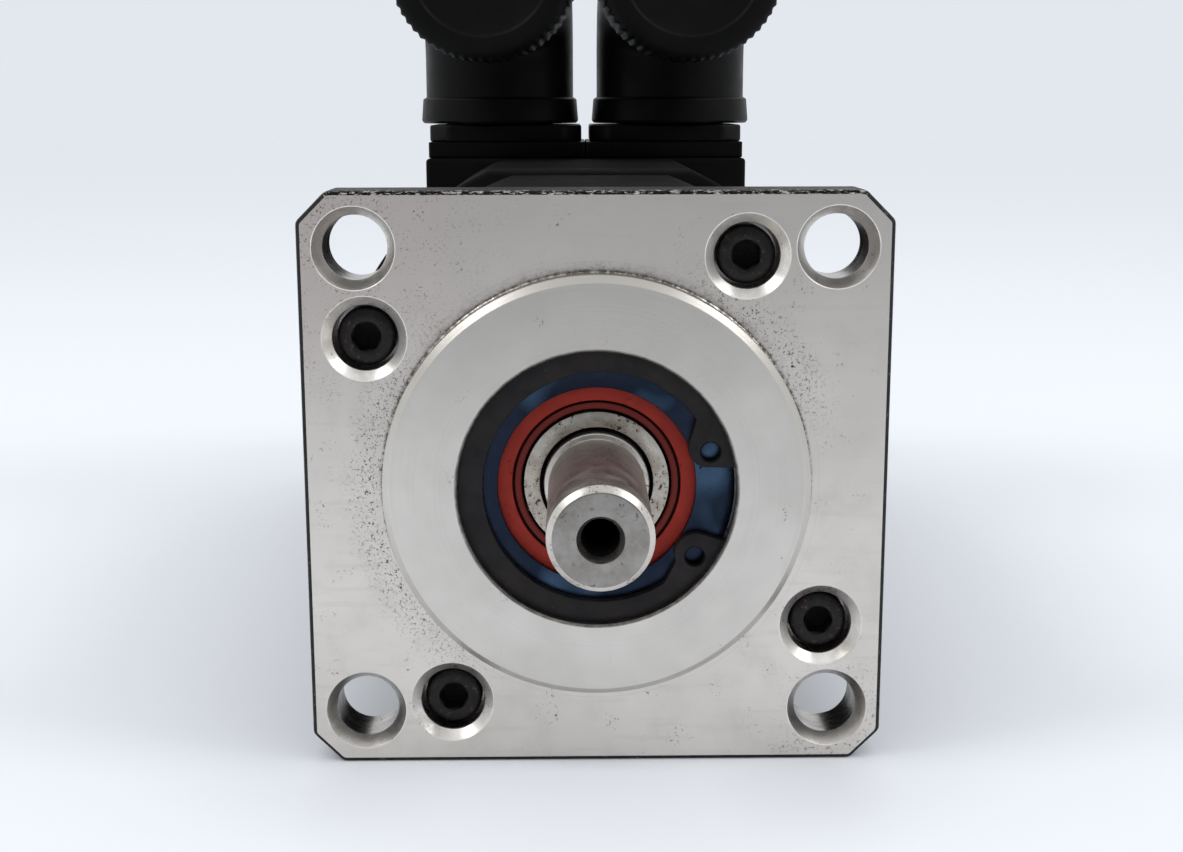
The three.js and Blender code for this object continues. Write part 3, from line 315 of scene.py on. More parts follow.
class Finish:
    """A Principled material whose colour, roughness and bump come from layered noise.
    Sizes are in millimetres."""

    def __init__(self, name, metallic=0.0, ior=1.45, coat=0.0, coat_roughness=0.1):
        self.material = bpy.data.materials.new(name)
        self.material.use_nodes = True
        self.tree = self.material.node_tree
        self.shader = self.tree.nodes["Principled BSDF"]
        self.shader.inputs["Metallic"].default_value = metallic
        self.shader.inputs["IOR"].default_value = ior
        self.shader.inputs["Coat Weight"].default_value = coat
        self.shader.inputs["Coat Roughness"].default_value = coat_roughness
        coordinates = self.tree.nodes.new("ShaderNodeTexCoord")
        self.space = self.node("Mapping", Vector=coordinates.outputs["Object"], Location=tuple(-ORIGIN / MM),
                               Scale=(1 / MM,) * 3)
        self.colour = None
        self.rough = None
        self.height = None

    def node(self, kind, **sockets):
        return add_node(self.tree, "ShaderNode" + kind, **sockets)

    def link(self, source, target):
        self.tree.links.new(source.outputs[0] if hasattr(source, "outputs") else source, target)

    def math(self, operation, a, b=None):
        made = self.node("Math")
        made.operation = operation
        for socket, value in zip(made.inputs, (a, b)):
            if value is None:
                continue
            if isinstance(value, (int, float)):
                socket.default_value = value
            else:
                self.link(value, socket)
        return made

    def times(self, a, b):
        return self.math("MULTIPLY", a, b)

    def stretched(self, stretch, turn=(0, 0, 0)):
        turned = tuple(math.radians(a) for a in turn)
        return self.node("Mapping", Vector=self.space, Scale=stretch, Rotation=turned)

    def noise(self, size, detail=4.0, rough=0.6, stretch=None, turn=(0, 0, 0), distortion=0.0):
        space = self.stretched(stretch, turn) if stretch else self.space
        made = self.node("TexNoise", Vector=space, Scale=1 / size, Detail=detail, Roughness=rough,
                         Distortion=distortion)
        return made.outputs[0]

    def radius(self, centre=(0, 0)):
        """The distance from a line along the shaft's direction, in millimetres."""
        split = self.node("SeparateXYZ", Vector=self.space)
        x = self.math("SUBTRACT", split.outputs[0], centre[0])
        z = self.math("SUBTRACT", split.outputs[2], centre[1])
        return self.math("SQRT", self.math("ADD", self.times(x, x), self.times(z, z)))

    def turning(self, pitch, centre=(0, 0), detail=3):
        """Fine rings about the shaft axis, as a lathe tool leaves."""
        split = self.node("SeparateXYZ", Vector=self.space)
        along = self.node("CombineXYZ", X=self.radius(centre), Y=split.outputs[1])
        return self.node("TexNoise", Vector=along, Scale=1 / pitch, Detail=detail).outputs[0]

    def band(self, value, low, high, soft):
        """1 between two values, 0 outside them."""
        rise = self.ramp(value, low - soft, low + soft)
        return self.times(rise, self.ramp(value, high - soft, high + soft, 1, 0))

    def ramp(self, value, low, high, floor=0.0, ceiling=1.0):
        return map_range(self.tree, value, low, high, floor, ceiling)

    def specks(self, size, amount, dot=0.16):
        """1 on small irregular dots, 0 elsewhere; a larger noise gathers them in patches."""
        cells = self.node("TexVoronoi", Vector=self.space, Scale=1 / size, Randomness=1)
        near = self.ramp(cells.outputs["Distance"], dot, dot + 0.08, 1, 0)
        patch = self.ramp(self.noise(size * 9, 2), 1 - amount, 1.08 - amount)
        return self.times(near, patch)

    def grains(self, size, amount):
        """1 on irregular crumbs of mixed sizes, gathered in patches, and 0 elsewhere."""
        crumbs = self.ramp(self.noise(size, 4, 0.75), 0.575, 0.605)
        patch = self.ramp(self.noise(size * 10, 3), 1 - amount, 1.08 - amount)
        return self.times(crumbs, patch)

    def along(self, axis, low, high):
        """0 to 1 between two places along the frame's x, y or z."""
        split = self.node("SeparateXYZ", Vector=self.space)
        return self.ramp(split.outputs["XYZ".index(axis)], low, high)

    def scratches(self, width, length, turn, amount):
        lines = self.noise(width, 3, 0.7, stretch=(width / length, 1, 1), turn=turn)
        return self.ramp(lines, 1 - amount, 1.03 - amount)

    def tint(self, factor, colour, start=None):
        """Mixes a colour over what is there, by a factor."""
        made = self.node("Mix")
        made.data_type = "RGBA"
        if isinstance(factor, (int, float)):
            made.inputs[0].default_value = factor
        else:
            self.link(factor, made.inputs[0])
        if self.colour is None:
            made.inputs[6].default_value = (*start, 1)
        else:
            self.link(self.colour, made.inputs[6])
        made.inputs[7].default_value = (*colour, 1)
        self.colour = made.outputs[2]

    def ground(self, colour, start, *size, **shape):
        """The first colour layer: two tones mixed by a noise."""
        self.tint(self.ramp(self.noise(*size, **shape), 0.35, 0.7), colour, start)

    def roughen(self, value):
        self.rough = value if self.rough is None else self.math("ADD", self.rough, value)

    def mottle(self, low, high, *size, **shape):
        """Roughness that drifts between two values with a noise."""
        self.roughen(self.ramp(self.noise(*size, **shape), NOISE_LOW, NOISE_HIGH, low, high))

    def raise_by(self, value, amount):
        scaled = self.times(value, amount)
        self.height = scaled if self.height is None else self.math("ADD", self.height, scaled)

    def done(self, bump=1.0):
        self.link(self.colour, self.shader.inputs["Base Color"])
        self.link(self.rough, self.shader.inputs["Roughness"])
        if self.height is not None:
            made = self.node("Bump", Height=self.height, Strength=bump, Distance=MM)
            self.link(made, self.shader.inputs["Normal"])
        return self.material


def bare_face():
    """The flange's faced square: soft grey mottling, faint streaks, fine dirt near the pilot, painted shade
    darker towards the top, and a dark line of painted shade with some dirt in the crease at the pilot's foot.
    """
    f = Finish("bare_aluminium", metallic=1.0)
    f.ground((0.655, 0.62, 0.58), (0.74, 0.705, 0.66), 16, 3)
    f.tint(f.ramp(f.noise(4, 5, 0.7), 0.50, 0.80, 0, 0.45), (0.53, 0.51, 0.48))
    # Painted shade: the face is painted darker towards its top.
    f.tint(f.times(f.along("Z", -4, 24), 0.75), (0.51, 0.485, 0.455))
    pinkish = f.times(f.along("X", -6, -22), f.along("Z", 5, 18))
    f.tint(f.times(pinkish, 0.7), (0.57, 0.51, 0.475))
    streaks = f.noise(0.9, 3, stretch=(0.08, 1, 1), turn=(0, 55, 0))
    f.tint(f.ramp(streaks, 0.55, 0.75, 0, 0.35), (0.50, 0.48, 0.45))
    near_pilot = f.band(f.radius(), PILOT_RADIUS - 0.4, PILOT_RADIUS + 3.0, 1.4)
    left = f.times(f.along("X", -8, -18), f.along("Z", 22, 6))
    right = f.times(f.along("X", 6, 14), f.along("Z", 4, 10))
    dirty = f.times(near_pilot, f.math("ADD", left, right))
    f.tint(f.times(f.grains(0.42, 0.70), dirty), (0.05, 0.045, 0.04))
    f.tint(f.times(f.grains(0.30, 0.56), pinkish), (0.14, 0.115, 0.10))
    f.tint(f.times(f.grains(0.24, 0.62), dirty), (0.09, 0.08, 0.07))
    f.tint(f.grains(0.34, 0.42), (0.13, 0.115, 0.105))
    corner = f.times(f.along("X", 16, 24), f.along("Z", -16, -24))
    f.tint(f.times(f.grains(0.36, 0.66), corner), (0.06, 0.05, 0.045))
    # Painted shade with some dirt: a dark, broken line in the crease at the pilot's foot.
    foot = f.band(f.radius(), PILOT_RADIUS - 0.1, PILOT_RADIUS + 0.3, 0.1)
    f.tint(f.times(foot, f.ramp(f.noise(0.6, 5, 0.8), 0.44, 0.54, 0.1, 0.9)), (0.07, 0.06, 0.05))
    above = f.times(f.band(f.radius(), PILOT_RADIUS, PILOT_RADIUS + 0.9, 0.3), f.along("Z", 8, 16))
    f.tint(f.times(above, f.ramp(f.noise(0.7, 5, 0.8), 0.48, 0.60, 0, 0.5)), (0.24, 0.20, 0.17))
    around = f.band(f.radius(), PILOT_RADIUS + 0.2, PILOT_RADIUS + 1.2, 0.3)
    f.tint(f.times(around, f.ramp(f.turning(0.14), 0.56, 0.62, 0, 0.7)), (0.26, 0.25, 0.23))
    f.tint(f.scratches(0.14, 4.0, (0, 35, 0), 0.30), (0.82, 0.80, 0.76))
    f.tint(f.scratches(0.12, 3.0, (0, 118, 0), 0.29), (0.30, 0.29, 0.27))
    f.mottle(0.32, 0.44, 7, 6, 0.7)
    f.mottle(-0.02, 0.03, 0.6, 4, stretch=(0.1, 1, 1), turn=(0, 55, 0))
    f.raise_by(f.noise(0.35, 5, 0.7), 0.005)
    f.raise_by(f.noise(0.5, 3, stretch=(0.06, 1, 1), turn=(0, 55, 0)), 0.004)
    return f.done()


def pilot_face():
    """The boss is turned: nearly clean, with close rings and a few marks, and painted shade darker towards its
    top.
    """
    f = Finish("pilot_aluminium", metallic=1.0)
    f.ground((0.60, 0.575, 0.54), (0.665, 0.64, 0.60), 12, 3)
    # Painted shade: the boss is painted darker towards its top.
    f.tint(f.times(f.along("Z", 2, 20), 0.8), (0.47, 0.45, 0.42))
    f.tint(f.grains(0.28, 0.36), (0.12, 0.10, 0.09))
    f.tint(f.ramp(f.turning(0.25), 0.58, 0.72, 0, 0.25), (0.46, 0.44, 0.42))
    rim = f.band(f.radius(), 12.5, 13.25, 0.05)
    f.tint(f.times(rim, f.ramp(f.noise(1.2, 4), 0.3, 0.6, 0.4, 1)), (0.22, 0.21, 0.20))
    f.tint(f.scratches(0.09, 3.0, (0, 70, 0), 0.22), (0.70, 0.68, 0.65))
    f.mottle(0.31, 0.41, 6, 5, 0.7)
    f.roughen(f.ramp(f.turning(0.3), NOISE_LOW, NOISE_HIGH, -0.02, 0.03))
    f.raise_by(f.turning(0.2), 0.006)
    f.raise_by(f.noise(0.3, 4), 0.003)
    return f.done()


def turned_aluminium():
    f = Finish("turned_aluminium", metallic=1.0)
    f.ground((0.66, 0.66, 0.67), (0.78, 0.78, 0.78), 6, 4)
    f.tint(f.specks(0.6, 0.33), (0.15, 0.14, 0.13))
    f.roughen(f.ramp(f.turning(0.3), NOISE_LOW, NOISE_HIGH, 0.26, 0.42))
    f.raise_by(f.turning(0.25), 0.012)
    return f.done()


def drilled_wall_shaded():
    """Straight walls of the holes: cutter marks on aluminium painted darker, as painted shade inside the holes.
    """
    f = Finish("drilled_aluminium_shaded", metallic=1.0)
    f.ground((0.30, 0.28, 0.27), (0.50, 0.48, 0.46), 0.8, 4, stretch=(0.3, 1, 0.3))
    f.tint(f.grains(0.3, 0.5), (0.06, 0.05, 0.045))
    f.mottle(0.22, 0.36, 0.6, 4, stretch=(0.3, 1, 0.3))
    f.raise_by(f.noise(0.25, 3, stretch=(0.1, 1, 0.1)), 0.006)
    return f.done()


def countersink():
    """The conical mouths of the holes, smooth, in a brighter copy of the face's aluminium: painted light."""
    f = Finish("countersink_lit_aluminium", metallic=1.0)
    f.ground((0.72, 0.69, 0.65), (0.88, 0.85, 0.81), 1.4, 3)
    f.tint(f.grains(0.26, 0.42), (0.12, 0.10, 0.09))
    f.mottle(0.26, 0.36, 0.7, 4)
    f.raise_by(f.noise(0.5, 3), 0.004)
    return f.done()


def edge_paint():
    """Black finish on the flange's sides, rubbed through to metal in places along the edges."""
    f = Finish("flange_edge_black", metallic=0.0, ior=1.3)
    f.tint(f.ramp(f.noise(1.2, 5, 0.7), 0.3, 0.7), (0.022, 0.021, 0.021), (0.009, 0.009, 0.010))
    f.tint(f.ramp(f.noise(0.45, 6, 0.85, stretch=(0.35, 1, 0.35)), 0.60, 0.65), (0.26, 0.25, 0.24))
    f.mottle(0.40, 0.65, 0.8, 5)
    f.raise_by(f.noise(0.3, 5, 0.7), 0.04)
    return f.done()


def worn_edge():
    """The narrow broken edge along the flange's top: dark, with fine bright nicks along it."""
    f = Finish("flange_worn_edge", metallic=1.0)
    streaks = f.noise(0.22, 5, 0.8, stretch=(0.35, 1, 1))
    f.tint(f.ramp(streaks, 0.53, 0.57), (0.50, 0.49, 0.47), (0.012, 0.011, 0.011))
    f.mottle(0.36, 0.6, 0.5, 5)
    f.raise_by(f.noise(0.25, 6, 0.8), 0.04)
    return f.done()


def black_anodised(name, tone=0.012, grain=0.16, low=0.38, high=0.52, ior=1.35):
    f = Finish(name, metallic=0.0, ior=ior)
    f.tint(f.ramp(f.noise(9, 4), 0.3, 0.7), (tone * 1.6, tone * 1.55, tone * 1.55), (tone, tone, tone * 1.05))
    f.tint(f.specks(0.8, 0.28, 0.12), (0.06, 0.06, 0.06))
    f.tint(f.scratches(0.12, 5, (0, 20, 35), 0.22), (0.035, 0.035, 0.036))
    f.mottle(low, high, 2.5, 5)
    f.raise_by(f.noise(grain, 4, 0.6), 0.016)
    return f.done()


def blued_steel():
    """Spring steel tempered blue, its hue drifting between navy, teal and violet."""
    f = Finish("blued_spring_steel", metallic=1.0)
    f.tint(f.ramp(f.noise(7, 1, stretch=(1, 0.2, 1)), 0.38, 0.62), (0.012, 0.021, 0.036), (0.018, 0.023, 0.040))
    f.tint(f.ramp(f.noise(6.5, 1), 0.54, 0.70, 0, 0.9), (0.045, 0.080, 0.135))
    f.tint(f.grains(0.3, 0.4), (0.006, 0.006, 0.008))
    f.mottle(0.24, 0.36, 1.6, 4)
    f.raise_by(f.turning(0.18), 0.004)
    return f.done()


def phosphated_steel():
    """Black phosphated spring steel, slightly brown where the coat is thin."""
    f = Finish("phosphated_steel", metallic=0.6, ior=1.35)
    f.tint(f.ramp(f.noise(2.6, 4), 0.35, 0.68), (0.026, 0.022, 0.022), (0.015, 0.015, 0.016))
    f.tint(f.specks(0.4, 0.34, 0.12), (0.11, 0.09, 0.08))
    f.mottle(0.34, 0.52, 0.9, 5)
    f.raise_by(f.noise(0.12, 4), 0.012)
    return f.done()


def red_rubber():
    f = Finish("red_seal_rubber", ior=1.3)
    f.ground((0.37, 0.030, 0.018), (0.30, 0.022, 0.013), 2.4, 4)
    f.tint(f.grains(0.3, 0.45), (0.06, 0.01, 0.008))
    f.tint(f.band(f.radius(), 7.0, 7.72, 0.06), (0.15, 0.018, 0.014))
    f.tint(f.ramp(f.turning(0.5), 0.55, 0.75, 0, 0.3), (0.24, 0.018, 0.012))
    f.mottle(0.42, 0.6, 1.0, 5)
    f.raise_by(f.turning(0.3), 0.012)
    f.raise_by(f.noise(0.15, 3), 0.006)
    return f.done()


def painted_shade_recess():
    """Painted shade: a near-black finish put at the bottom of narrow gaps, holes and sockets, where they fall
    into shadow.
    """
    f = Finish("painted_recess_shade", ior=1.25)
    f.ground((0.006, 0.005, 0.005), (0.0025, 0.0025, 0.0025), 0.6, 4)
    f.mottle(0.55, 0.8, 0.4, 4)
    f.raise_by(f.noise(0.15, 3), 0.01)
    return f.done()


def ground_steel(name, tone=0.60, warm=0.0, low=0.16, high=0.3, dirt=0.34, pitch=0.12):
    """Ground and polished steel with fine rings, a few dark specks and slight staining."""
    f = Finish(name, metallic=1.0)
    stain = (tone * (0.86 + warm), tone * 0.83, tone * (0.82 - warm))
    f.tint(f.ramp(f.noise(3.5, 4, stretch=(1, 0.6, 1)), 0.35, 0.7), stain, (tone, tone * 0.99, tone * 0.97))
    f.tint(f.specks(0.42, dirt), (0.05, 0.04, 0.035))
    f.roughen(f.ramp(f.turning(pitch), NOISE_LOW, NOISE_HIGH, low, high))
    f.roughen(f.ramp(f.noise(2.2, 5), 0.4, 0.75, 0, 0.1))
    f.raise_by(f.turning(pitch), 0.006)
    return f.done()


def ring_face():
    """The front bearing ring's ground face, with crisp dark flecks and brown oil stains."""
    f = Finish("bearing_ring_steel", metallic=1.0)
    f.tint(f.ramp(f.noise(2.2, 4), 0.38, 0.66), (0.32, 0.28, 0.23), (0.46, 0.435, 0.395))
    f.tint(f.ramp(f.noise(0.8, 4, 0.7, distortion=1.2), 0.61, 0.63), (0.05, 0.035, 0.028))
    f.tint(f.grains(0.45, 0.55), (0.05, 0.036, 0.03))
    f.mottle(0.22, 0.36, 0.9, 5)
    f.raise_by(f.turning(0.12), 0.004)
    f.raise_by(f.noise(0.4, 4), 0.004)
    return f.done()


def shaft_steel():
    """Ground shaft: fine grinding lines round it, warm grey stains and small nicks."""
    f = Finish("shaft_steel", metallic=1.0)
    f.tint(f.ramp(f.noise(3.0, 5, 0.65), 0.36, 0.7), (0.52, 0.48, 0.44), (0.66, 0.63, 0.59))
    f.tint(f.grains(0.3, 0.5), (0.12, 0.09, 0.075))
    f.tint(f.scratches(0.1, 2.5, (0, 0, 90), 0.22), (0.70, 0.67, 0.64))
    lines = f.noise(0.12, 3, 0.6, stretch=(0.12, 1, 0.12))
    f.roughen(f.ramp(lines, NOISE_LOW, NOISE_HIGH, 0.26, 0.38))
    f.roughen(f.ramp(f.noise(1.7, 5), 0.4, 0.75, 0, 0.1))
    f.raise_by(lines, 0.004)
    return f.done()


def shaft_end_shaded_steel():
    """The turned end of the shaft, stained, in a darker copy of the shaft steel: painted shade."""
    f = Finish("shaft_end_shaded_steel", metallic=1.0)
    f.tint(f.ramp(f.noise(1.6, 4, 0.65), 0.36, 0.7), (0.22, 0.205, 0.19), (0.33, 0.315, 0.295))
    f.tint(f.ramp(f.noise(0.7, 4, 0.7), 0.60, 0.68, 0, 0.8), (0.10, 0.09, 0.085))
    f.roughen(f.ramp(f.turning(0.2), NOISE_LOW, NOISE_HIGH, 0.26, 0.38))
    f.raise_by(f.turning(0.15), 0.004)
    return f.done()


def black_oxide():
    f = Finish("black_oxide_steel", metallic=0.5, ior=1.35)
    f.ground((0.024, 0.021, 0.020), (0.012, 0.012, 0.013), 0.9, 4)
    f.tint(f.ramp(f.noise(0.5, 4, 0.7), 0.60, 0.66, 0, 0.8), (0.10, 0.055, 0.035))
    f.tint(f.specks(0.3, 0.33, 0.12), (0.14, 0.12, 0.10))
    f.mottle(0.26, 0.42, 0.5, 5)
    f.raise_by(f.noise(0.1, 4), 0.010)
    return f.done()


def gear_steel():
    f = Finish("hobbed_gear_steel", metallic=1.0)
    f.ground((0.30, 0.28, 0.25), (0.44, 0.44, 0.44), 3.0, 4)
    f.mottle(0.22, 0.4, 0.25, 4, stretch=(1, 0.1, 1))
    f.raise_by(f.noise(0.2, 3, stretch=(1, 0.08, 1)), 0.01)
    return f.done()


def enamelled_copper():
    f = Finish("enamelled_copper", metallic=0.9, coat=0.6)
    f.ground((0.36, 0.13, 0.05), (0.55, 0.24, 0.10), 1.2, 3, stretch=(1, 0.2, 1))
    f.mottle(0.25, 0.4, 0.8, 3)
    f.raise_by(f.turning(0.6), 0.15)
    return f.done()


def stacked_laminations():
    f = Finish("stacked_laminations", metallic=0.9)
    sheets = f.noise(0.5, 1, stretch=(0.02, 1, 0.02))
    f.tint(f.ramp(sheets, 0.4, 0.6), (0.10, 0.105, 0.11), (0.24, 0.25, 0.26))
    f.mottle(0.35, 0.55, 2, 4)
    f.raise_by(sheets, 0.05)
    return f.done()


def moulded_plastic(name, tone=0.012, low=0.40, high=0.54, ior=1.3):
    f = Finish(name, ior=ior)
    f.ground((tone * 1.5, tone * 1.5, tone * 1.5), (tone, tone, tone), 4, 4)
    f.tint(f.scratches(0.1, 3, (0, 50, 0), 0.20), (0.035, 0.035, 0.035))
    f.mottle(low, high, 1.5, 5)
    f.raise_by(f.noise(0.12, 3), 0.010)
    return f.done()


def board_resin():
    f = Finish("green_board", ior=1.5, coat=0.5)
    f.tint(f.ramp(f.noise(1.5, 2, stretch=(1, 1, 0.3)), 0.48, 0.54), (0.03, 0.17, 0.07), (0.015, 0.09, 0.04))
    f.mottle(0.25, 0.4, 0.8, 3)
    f.raise_by(f.noise(0.6, 2), 0.02)
    return f.done()


BARE = bare_face()
PILOT = pilot_face()
TURNED = turned_aluminium()
DRILLED_SHADED = drilled_wall_shaded()
COUNTERSINK_LIT = countersink()
PAINTED_RECESS_SHADE = painted_shade_recess()
EDGE_BLACK = edge_paint()
WORN_EDGE = worn_edge()
BODY_BLACK = black_anodised("black_anodised_body", tone=0.006, low=0.6, high=0.75, ior=1.12)
CONNECTOR_BLACK = black_anodised(
    "black_connector_body", tone=0.003, grain=0.1, low=0.34, high=0.46, ior=1.17)
BLUED = blued_steel()
CIRCLIP = phosphated_steel()
RUBBER = red_rubber()
FRONT_RING = ring_face()
RING_STEEL = ground_steel("race_steel", tone=0.66, dirt=0.3, low=0.12, high=0.22)
BALL_STEEL = ground_steel("ball_steel", tone=0.68, dirt=0.2, low=0.05, high=0.12, pitch=0.5)
SHAFT = shaft_steel()
SHAFT_END_SHADED = shaft_end_shaded_steel()
SCREW = black_oxide()
GEAR = gear_steel()
COPPER = enamelled_copper()
LAMINATION = stacked_laminations()
MAGNET = ground_steel("nickel_magnet", tone=0.4, dirt=0.3, low=0.2, high=0.34, pitch=0.4)
CAP_PLASTIC = moulded_plastic("cap_plastic", tone=0.0036, ior=1.18)
INSERT_PLASTIC = moulded_plastic("insert_plastic", tone=0.035)
PLUG_PLASTIC = moulded_plastic("plug_plastic", tone=0.02)
BOARD = board_resin()


# ---------------------------------------------------------------- camera

# The camera stands in front of the shaft, a little above it, and looks slightly down.
CAMERA_PLACE = (-2.528, -149.885, 35.225)
CAMERA_LENS, SENSOR_WIDTH = 49.72, 36.0
CAMERA_TURN, CAMERA_DIP, CAMERA_ROLL = 0.0137, 0.1948, -0.0020


def make_camera():
    data = bpy.data.cameras.new("camera")
    data.lens = CAMERA_LENS
    data.sensor_width = SENSOR_WIDTH
    data.clip_start = 0.005
    data.clip_end = 20
    camera = bpy.data.objects.new("camera", data)
    bpy.context.scene.collection.objects.link(camera)
    forward = Vector((
        math.sin(CAMERA_TURN) * math.cos(CAMERA_DIP),
        math.cos(CAMERA_TURN) * math.cos(CAMERA_DIP),
        -math.sin(CAMERA_DIP),
    ))
    right = forward.cross(Vector((0, 0, 1))).normalized()
    up = right.cross(forward)
    tilted_right = right * math.cos(CAMERA_ROLL) + up * math.sin(CAMERA_ROLL)
    tilted_up = -right * math.sin(CAMERA_ROLL) + up * math.cos(CAMERA_ROLL)
    turn = Matrix((tilted_right, tilted_up, -forward)).transposed().to_4x4()
    camera.matrix_world = Matrix.Translation(TO_ROW @ Vector(CAMERA_PLACE)) @ turn
    bpy.context.scene.camera = camera


# ---------------------------------------------------------------- output end

def output_flange():
    """Milled plate, pilot boss and rear hub in one, with every hole cut and every edge broken."""
    bm = bmesh.new()
    edge = 0.4
    outline = chamfered_square(FLANGE_HALF, FLANGE_CORNER)
    levels = [(edge, 0.0), (edge * 0.25, edge * 0.35), (0.0, edge), (0.0, FLANGE_BACK - edge),
              (edge * 0.3, FLANGE_BACK - edge * 0.3), (edge, FLANGE_BACK)]
    rings = [[bm.verts.new((x, y, z)) for x, z in inset(outline, step)] for step, y in levels]
    for lower, upper in zip(rings, rings[1:]):
        bridge(bm, lower, upper, 1)
    for face in bm.faces:
        centre = face.calc_center_median()
        if centre.z > FLANGE_HALF - 1 and centre.y < edge * 1.2:
            face.material_index = 2
    profile = [
        (PILOT_RADIUS + 0.12, 0.0), (PILOT_RADIUS, -0.12), (PILOT_RADIUS, -PILOT_HEIGHT + 0.78),
        (PILOT_RADIUS - 0.04, -PILOT_HEIGHT + 0.7), (PILOT_RADIUS - 0.66, -PILOT_HEIGHT + 0.04),
        (PILOT_RADIUS - 0.74, -PILOT_HEIGHT), (BORE_MOUTH + 0.05, -PILOT_HEIGHT),
        (BORE_MOUTH - 0.06, -PILOT_HEIGHT + 0.05), (BORE_RADIUS, -PILOT_HEIGHT + 0.2),
        (BORE_RADIUS, CIRCLIP_FRONT - 0.03), (BORE_RADIUS + 0.7, CIRCLIP_FRONT - 0.03),
        (BORE_RADIUS + 0.7, CIRCLIP_BACK + 0.03), (BORE_RADIUS, CIRCLIP_BACK + 0.03),
        (BORE_RADIUS, 19.7), (11.5, 19.7), (11.5, HUB_BACK), (HUB_RADIUS - 0.5, HUB_BACK),
        (HUB_RADIUS, HUB_BACK - 0.5), (HUB_RADIUS, FLANGE_BACK + 0.3), (HUB_RADIUS + 0.3, FLANGE_BACK),
    ]
    middle = lathe(bm, profile, 192, closed=False)
    paint(bm, 3, (BORE_RADIUS - 0.1, PILOT_RADIUS + 0.01), (-PILOT_HEIGHT - 1, -0.05))
    # Painted shade: the bore's wall takes the darker drilled finish.
    paint(bm, 4, (0, BORE_RADIUS + 1), (-PILOT_HEIGHT + 0.25, HUB_BACK + 1))
    fronts, backs = [rings[0], middle[0]], [rings[-1], middle[-1]]
    mount = [
        (MOUNT_MOUTH + 0.05, 0), (MOUNT_MOUTH - 0.03, 0.05), (MOUNT_RADIUS + 0.05, MOUNT_MOUTH_DEPTH - 0.05),
        (MOUNT_RADIUS, MOUNT_MOUTH_DEPTH + 0.08), (MOUNT_RADIUS, FLANGE_BACK - 0.3),
        (MOUNT_RADIUS + 0.3, FLANGE_BACK),
    ]
    bore = [
        (COUNTERBORE_MOUTH + 0.05, 0), (COUNTERBORE_MOUTH - 0.03, 0.05),
        (COUNTERBORE + 0.05, COUNTERBORE_MOUTH_DEPTH - 0.05), (COUNTERBORE, COUNTERBORE_MOUTH_DEPTH + 0.08),
        (COUNTERBORE, SCREW_FACE + HEAD_LENGTH), (1.7, SCREW_FACE + HEAD_LENGTH), (1.7, FLANGE_BACK),
    ]
    places = [((sx * MOUNT_OFFSET, sz * MOUNT_OFFSET), mount) for sx in (1, -1) for sz in (1, -1)]
    places += [(polar(SCREW_CIRCLE, angle), bore) for angle in SCREW_ANGLES]
    for centre, wall in places:
        # Painted shade: the holes' straight walls take the darker drilled finish.
        made = lathe(bm, wall, 72, closed=False, material=4, centre=centre)
        # Painted light: the cones take the brighter countersink finish.
        paint(bm, 5, (wall[3][0] + 0.01, wall[0][0] + 0.1), (-0.1, wall[3][1] - 0.05), centre)
        fronts.append(made[0])
        backs.append(made[-1])
    cap(bm, fronts, 0)
    cap(bm, backs, 1)
    materials = (BARE, EDGE_BLACK, WORN_EDGE, PILOT, DRILLED_SHADED, COUNTERSINK_LIT)
    build(bm, "output_flange", materials, "housing", sharp=13)


def circlip_outline():
    """Internal retaining ring: an eccentric band and two lugs with round noses, either side of its gap."""
    def arc(ends, steps, radius, centre=(0, 0)):
        turns = [ends[0] + (ends[1] - ends[0]) * k / steps for k in range(steps + 1)]
        return [(centre[0] + polar(radius, a)[0], centre[1] + polar(radius, a)[1]) for a in turns]

    outer = arc(CIRCLIP_ENDS, 150, 13.6)
    inner = arc(CIRCLIP_BAND[::-1], 120, 11.0, (0.35, 0))
    upper = arc(UPPER_LUG["arc"], 14, UPPER_LUG["radius"], UPPER_LUG["nose"])
    lower = arc(LOWER_LUG["arc"], 16, LOWER_LUG["radius"], LOWER_LUG["nose"])
    return soften(outer + lower + inner + upper, 0.35, 3)


def retaining_ring():
    bm = bmesh.new()
    holes = []
    for lug in (UPPER_LUG, LOWER_LUG):
        holes.append(straight_hole(lug["hole"], 0.9, CIRCLIP_FRONT, CIRCLIP_BACK, 0.12, 40))
    # Painted shade: the lug holes' walls take the near-black recess finish.
    prism(bm, circlip_outline(), CIRCLIP_FRONT, CIRCLIP_BACK, 0.1, holes, hole_material=1)
    build(bm, "retaining_ring", (CIRCLIP, PAINTED_RECESS_SHADE), "housing")


def turned_ring(node, profile, material, radius=0.12):
    """A ring of the housing, revolved from a profile with slightly rounded corners."""
    bm = bmesh.new()
    lathe(bm, soften(profile, radius), 144)
    build(bm, node, (material,), "housing")


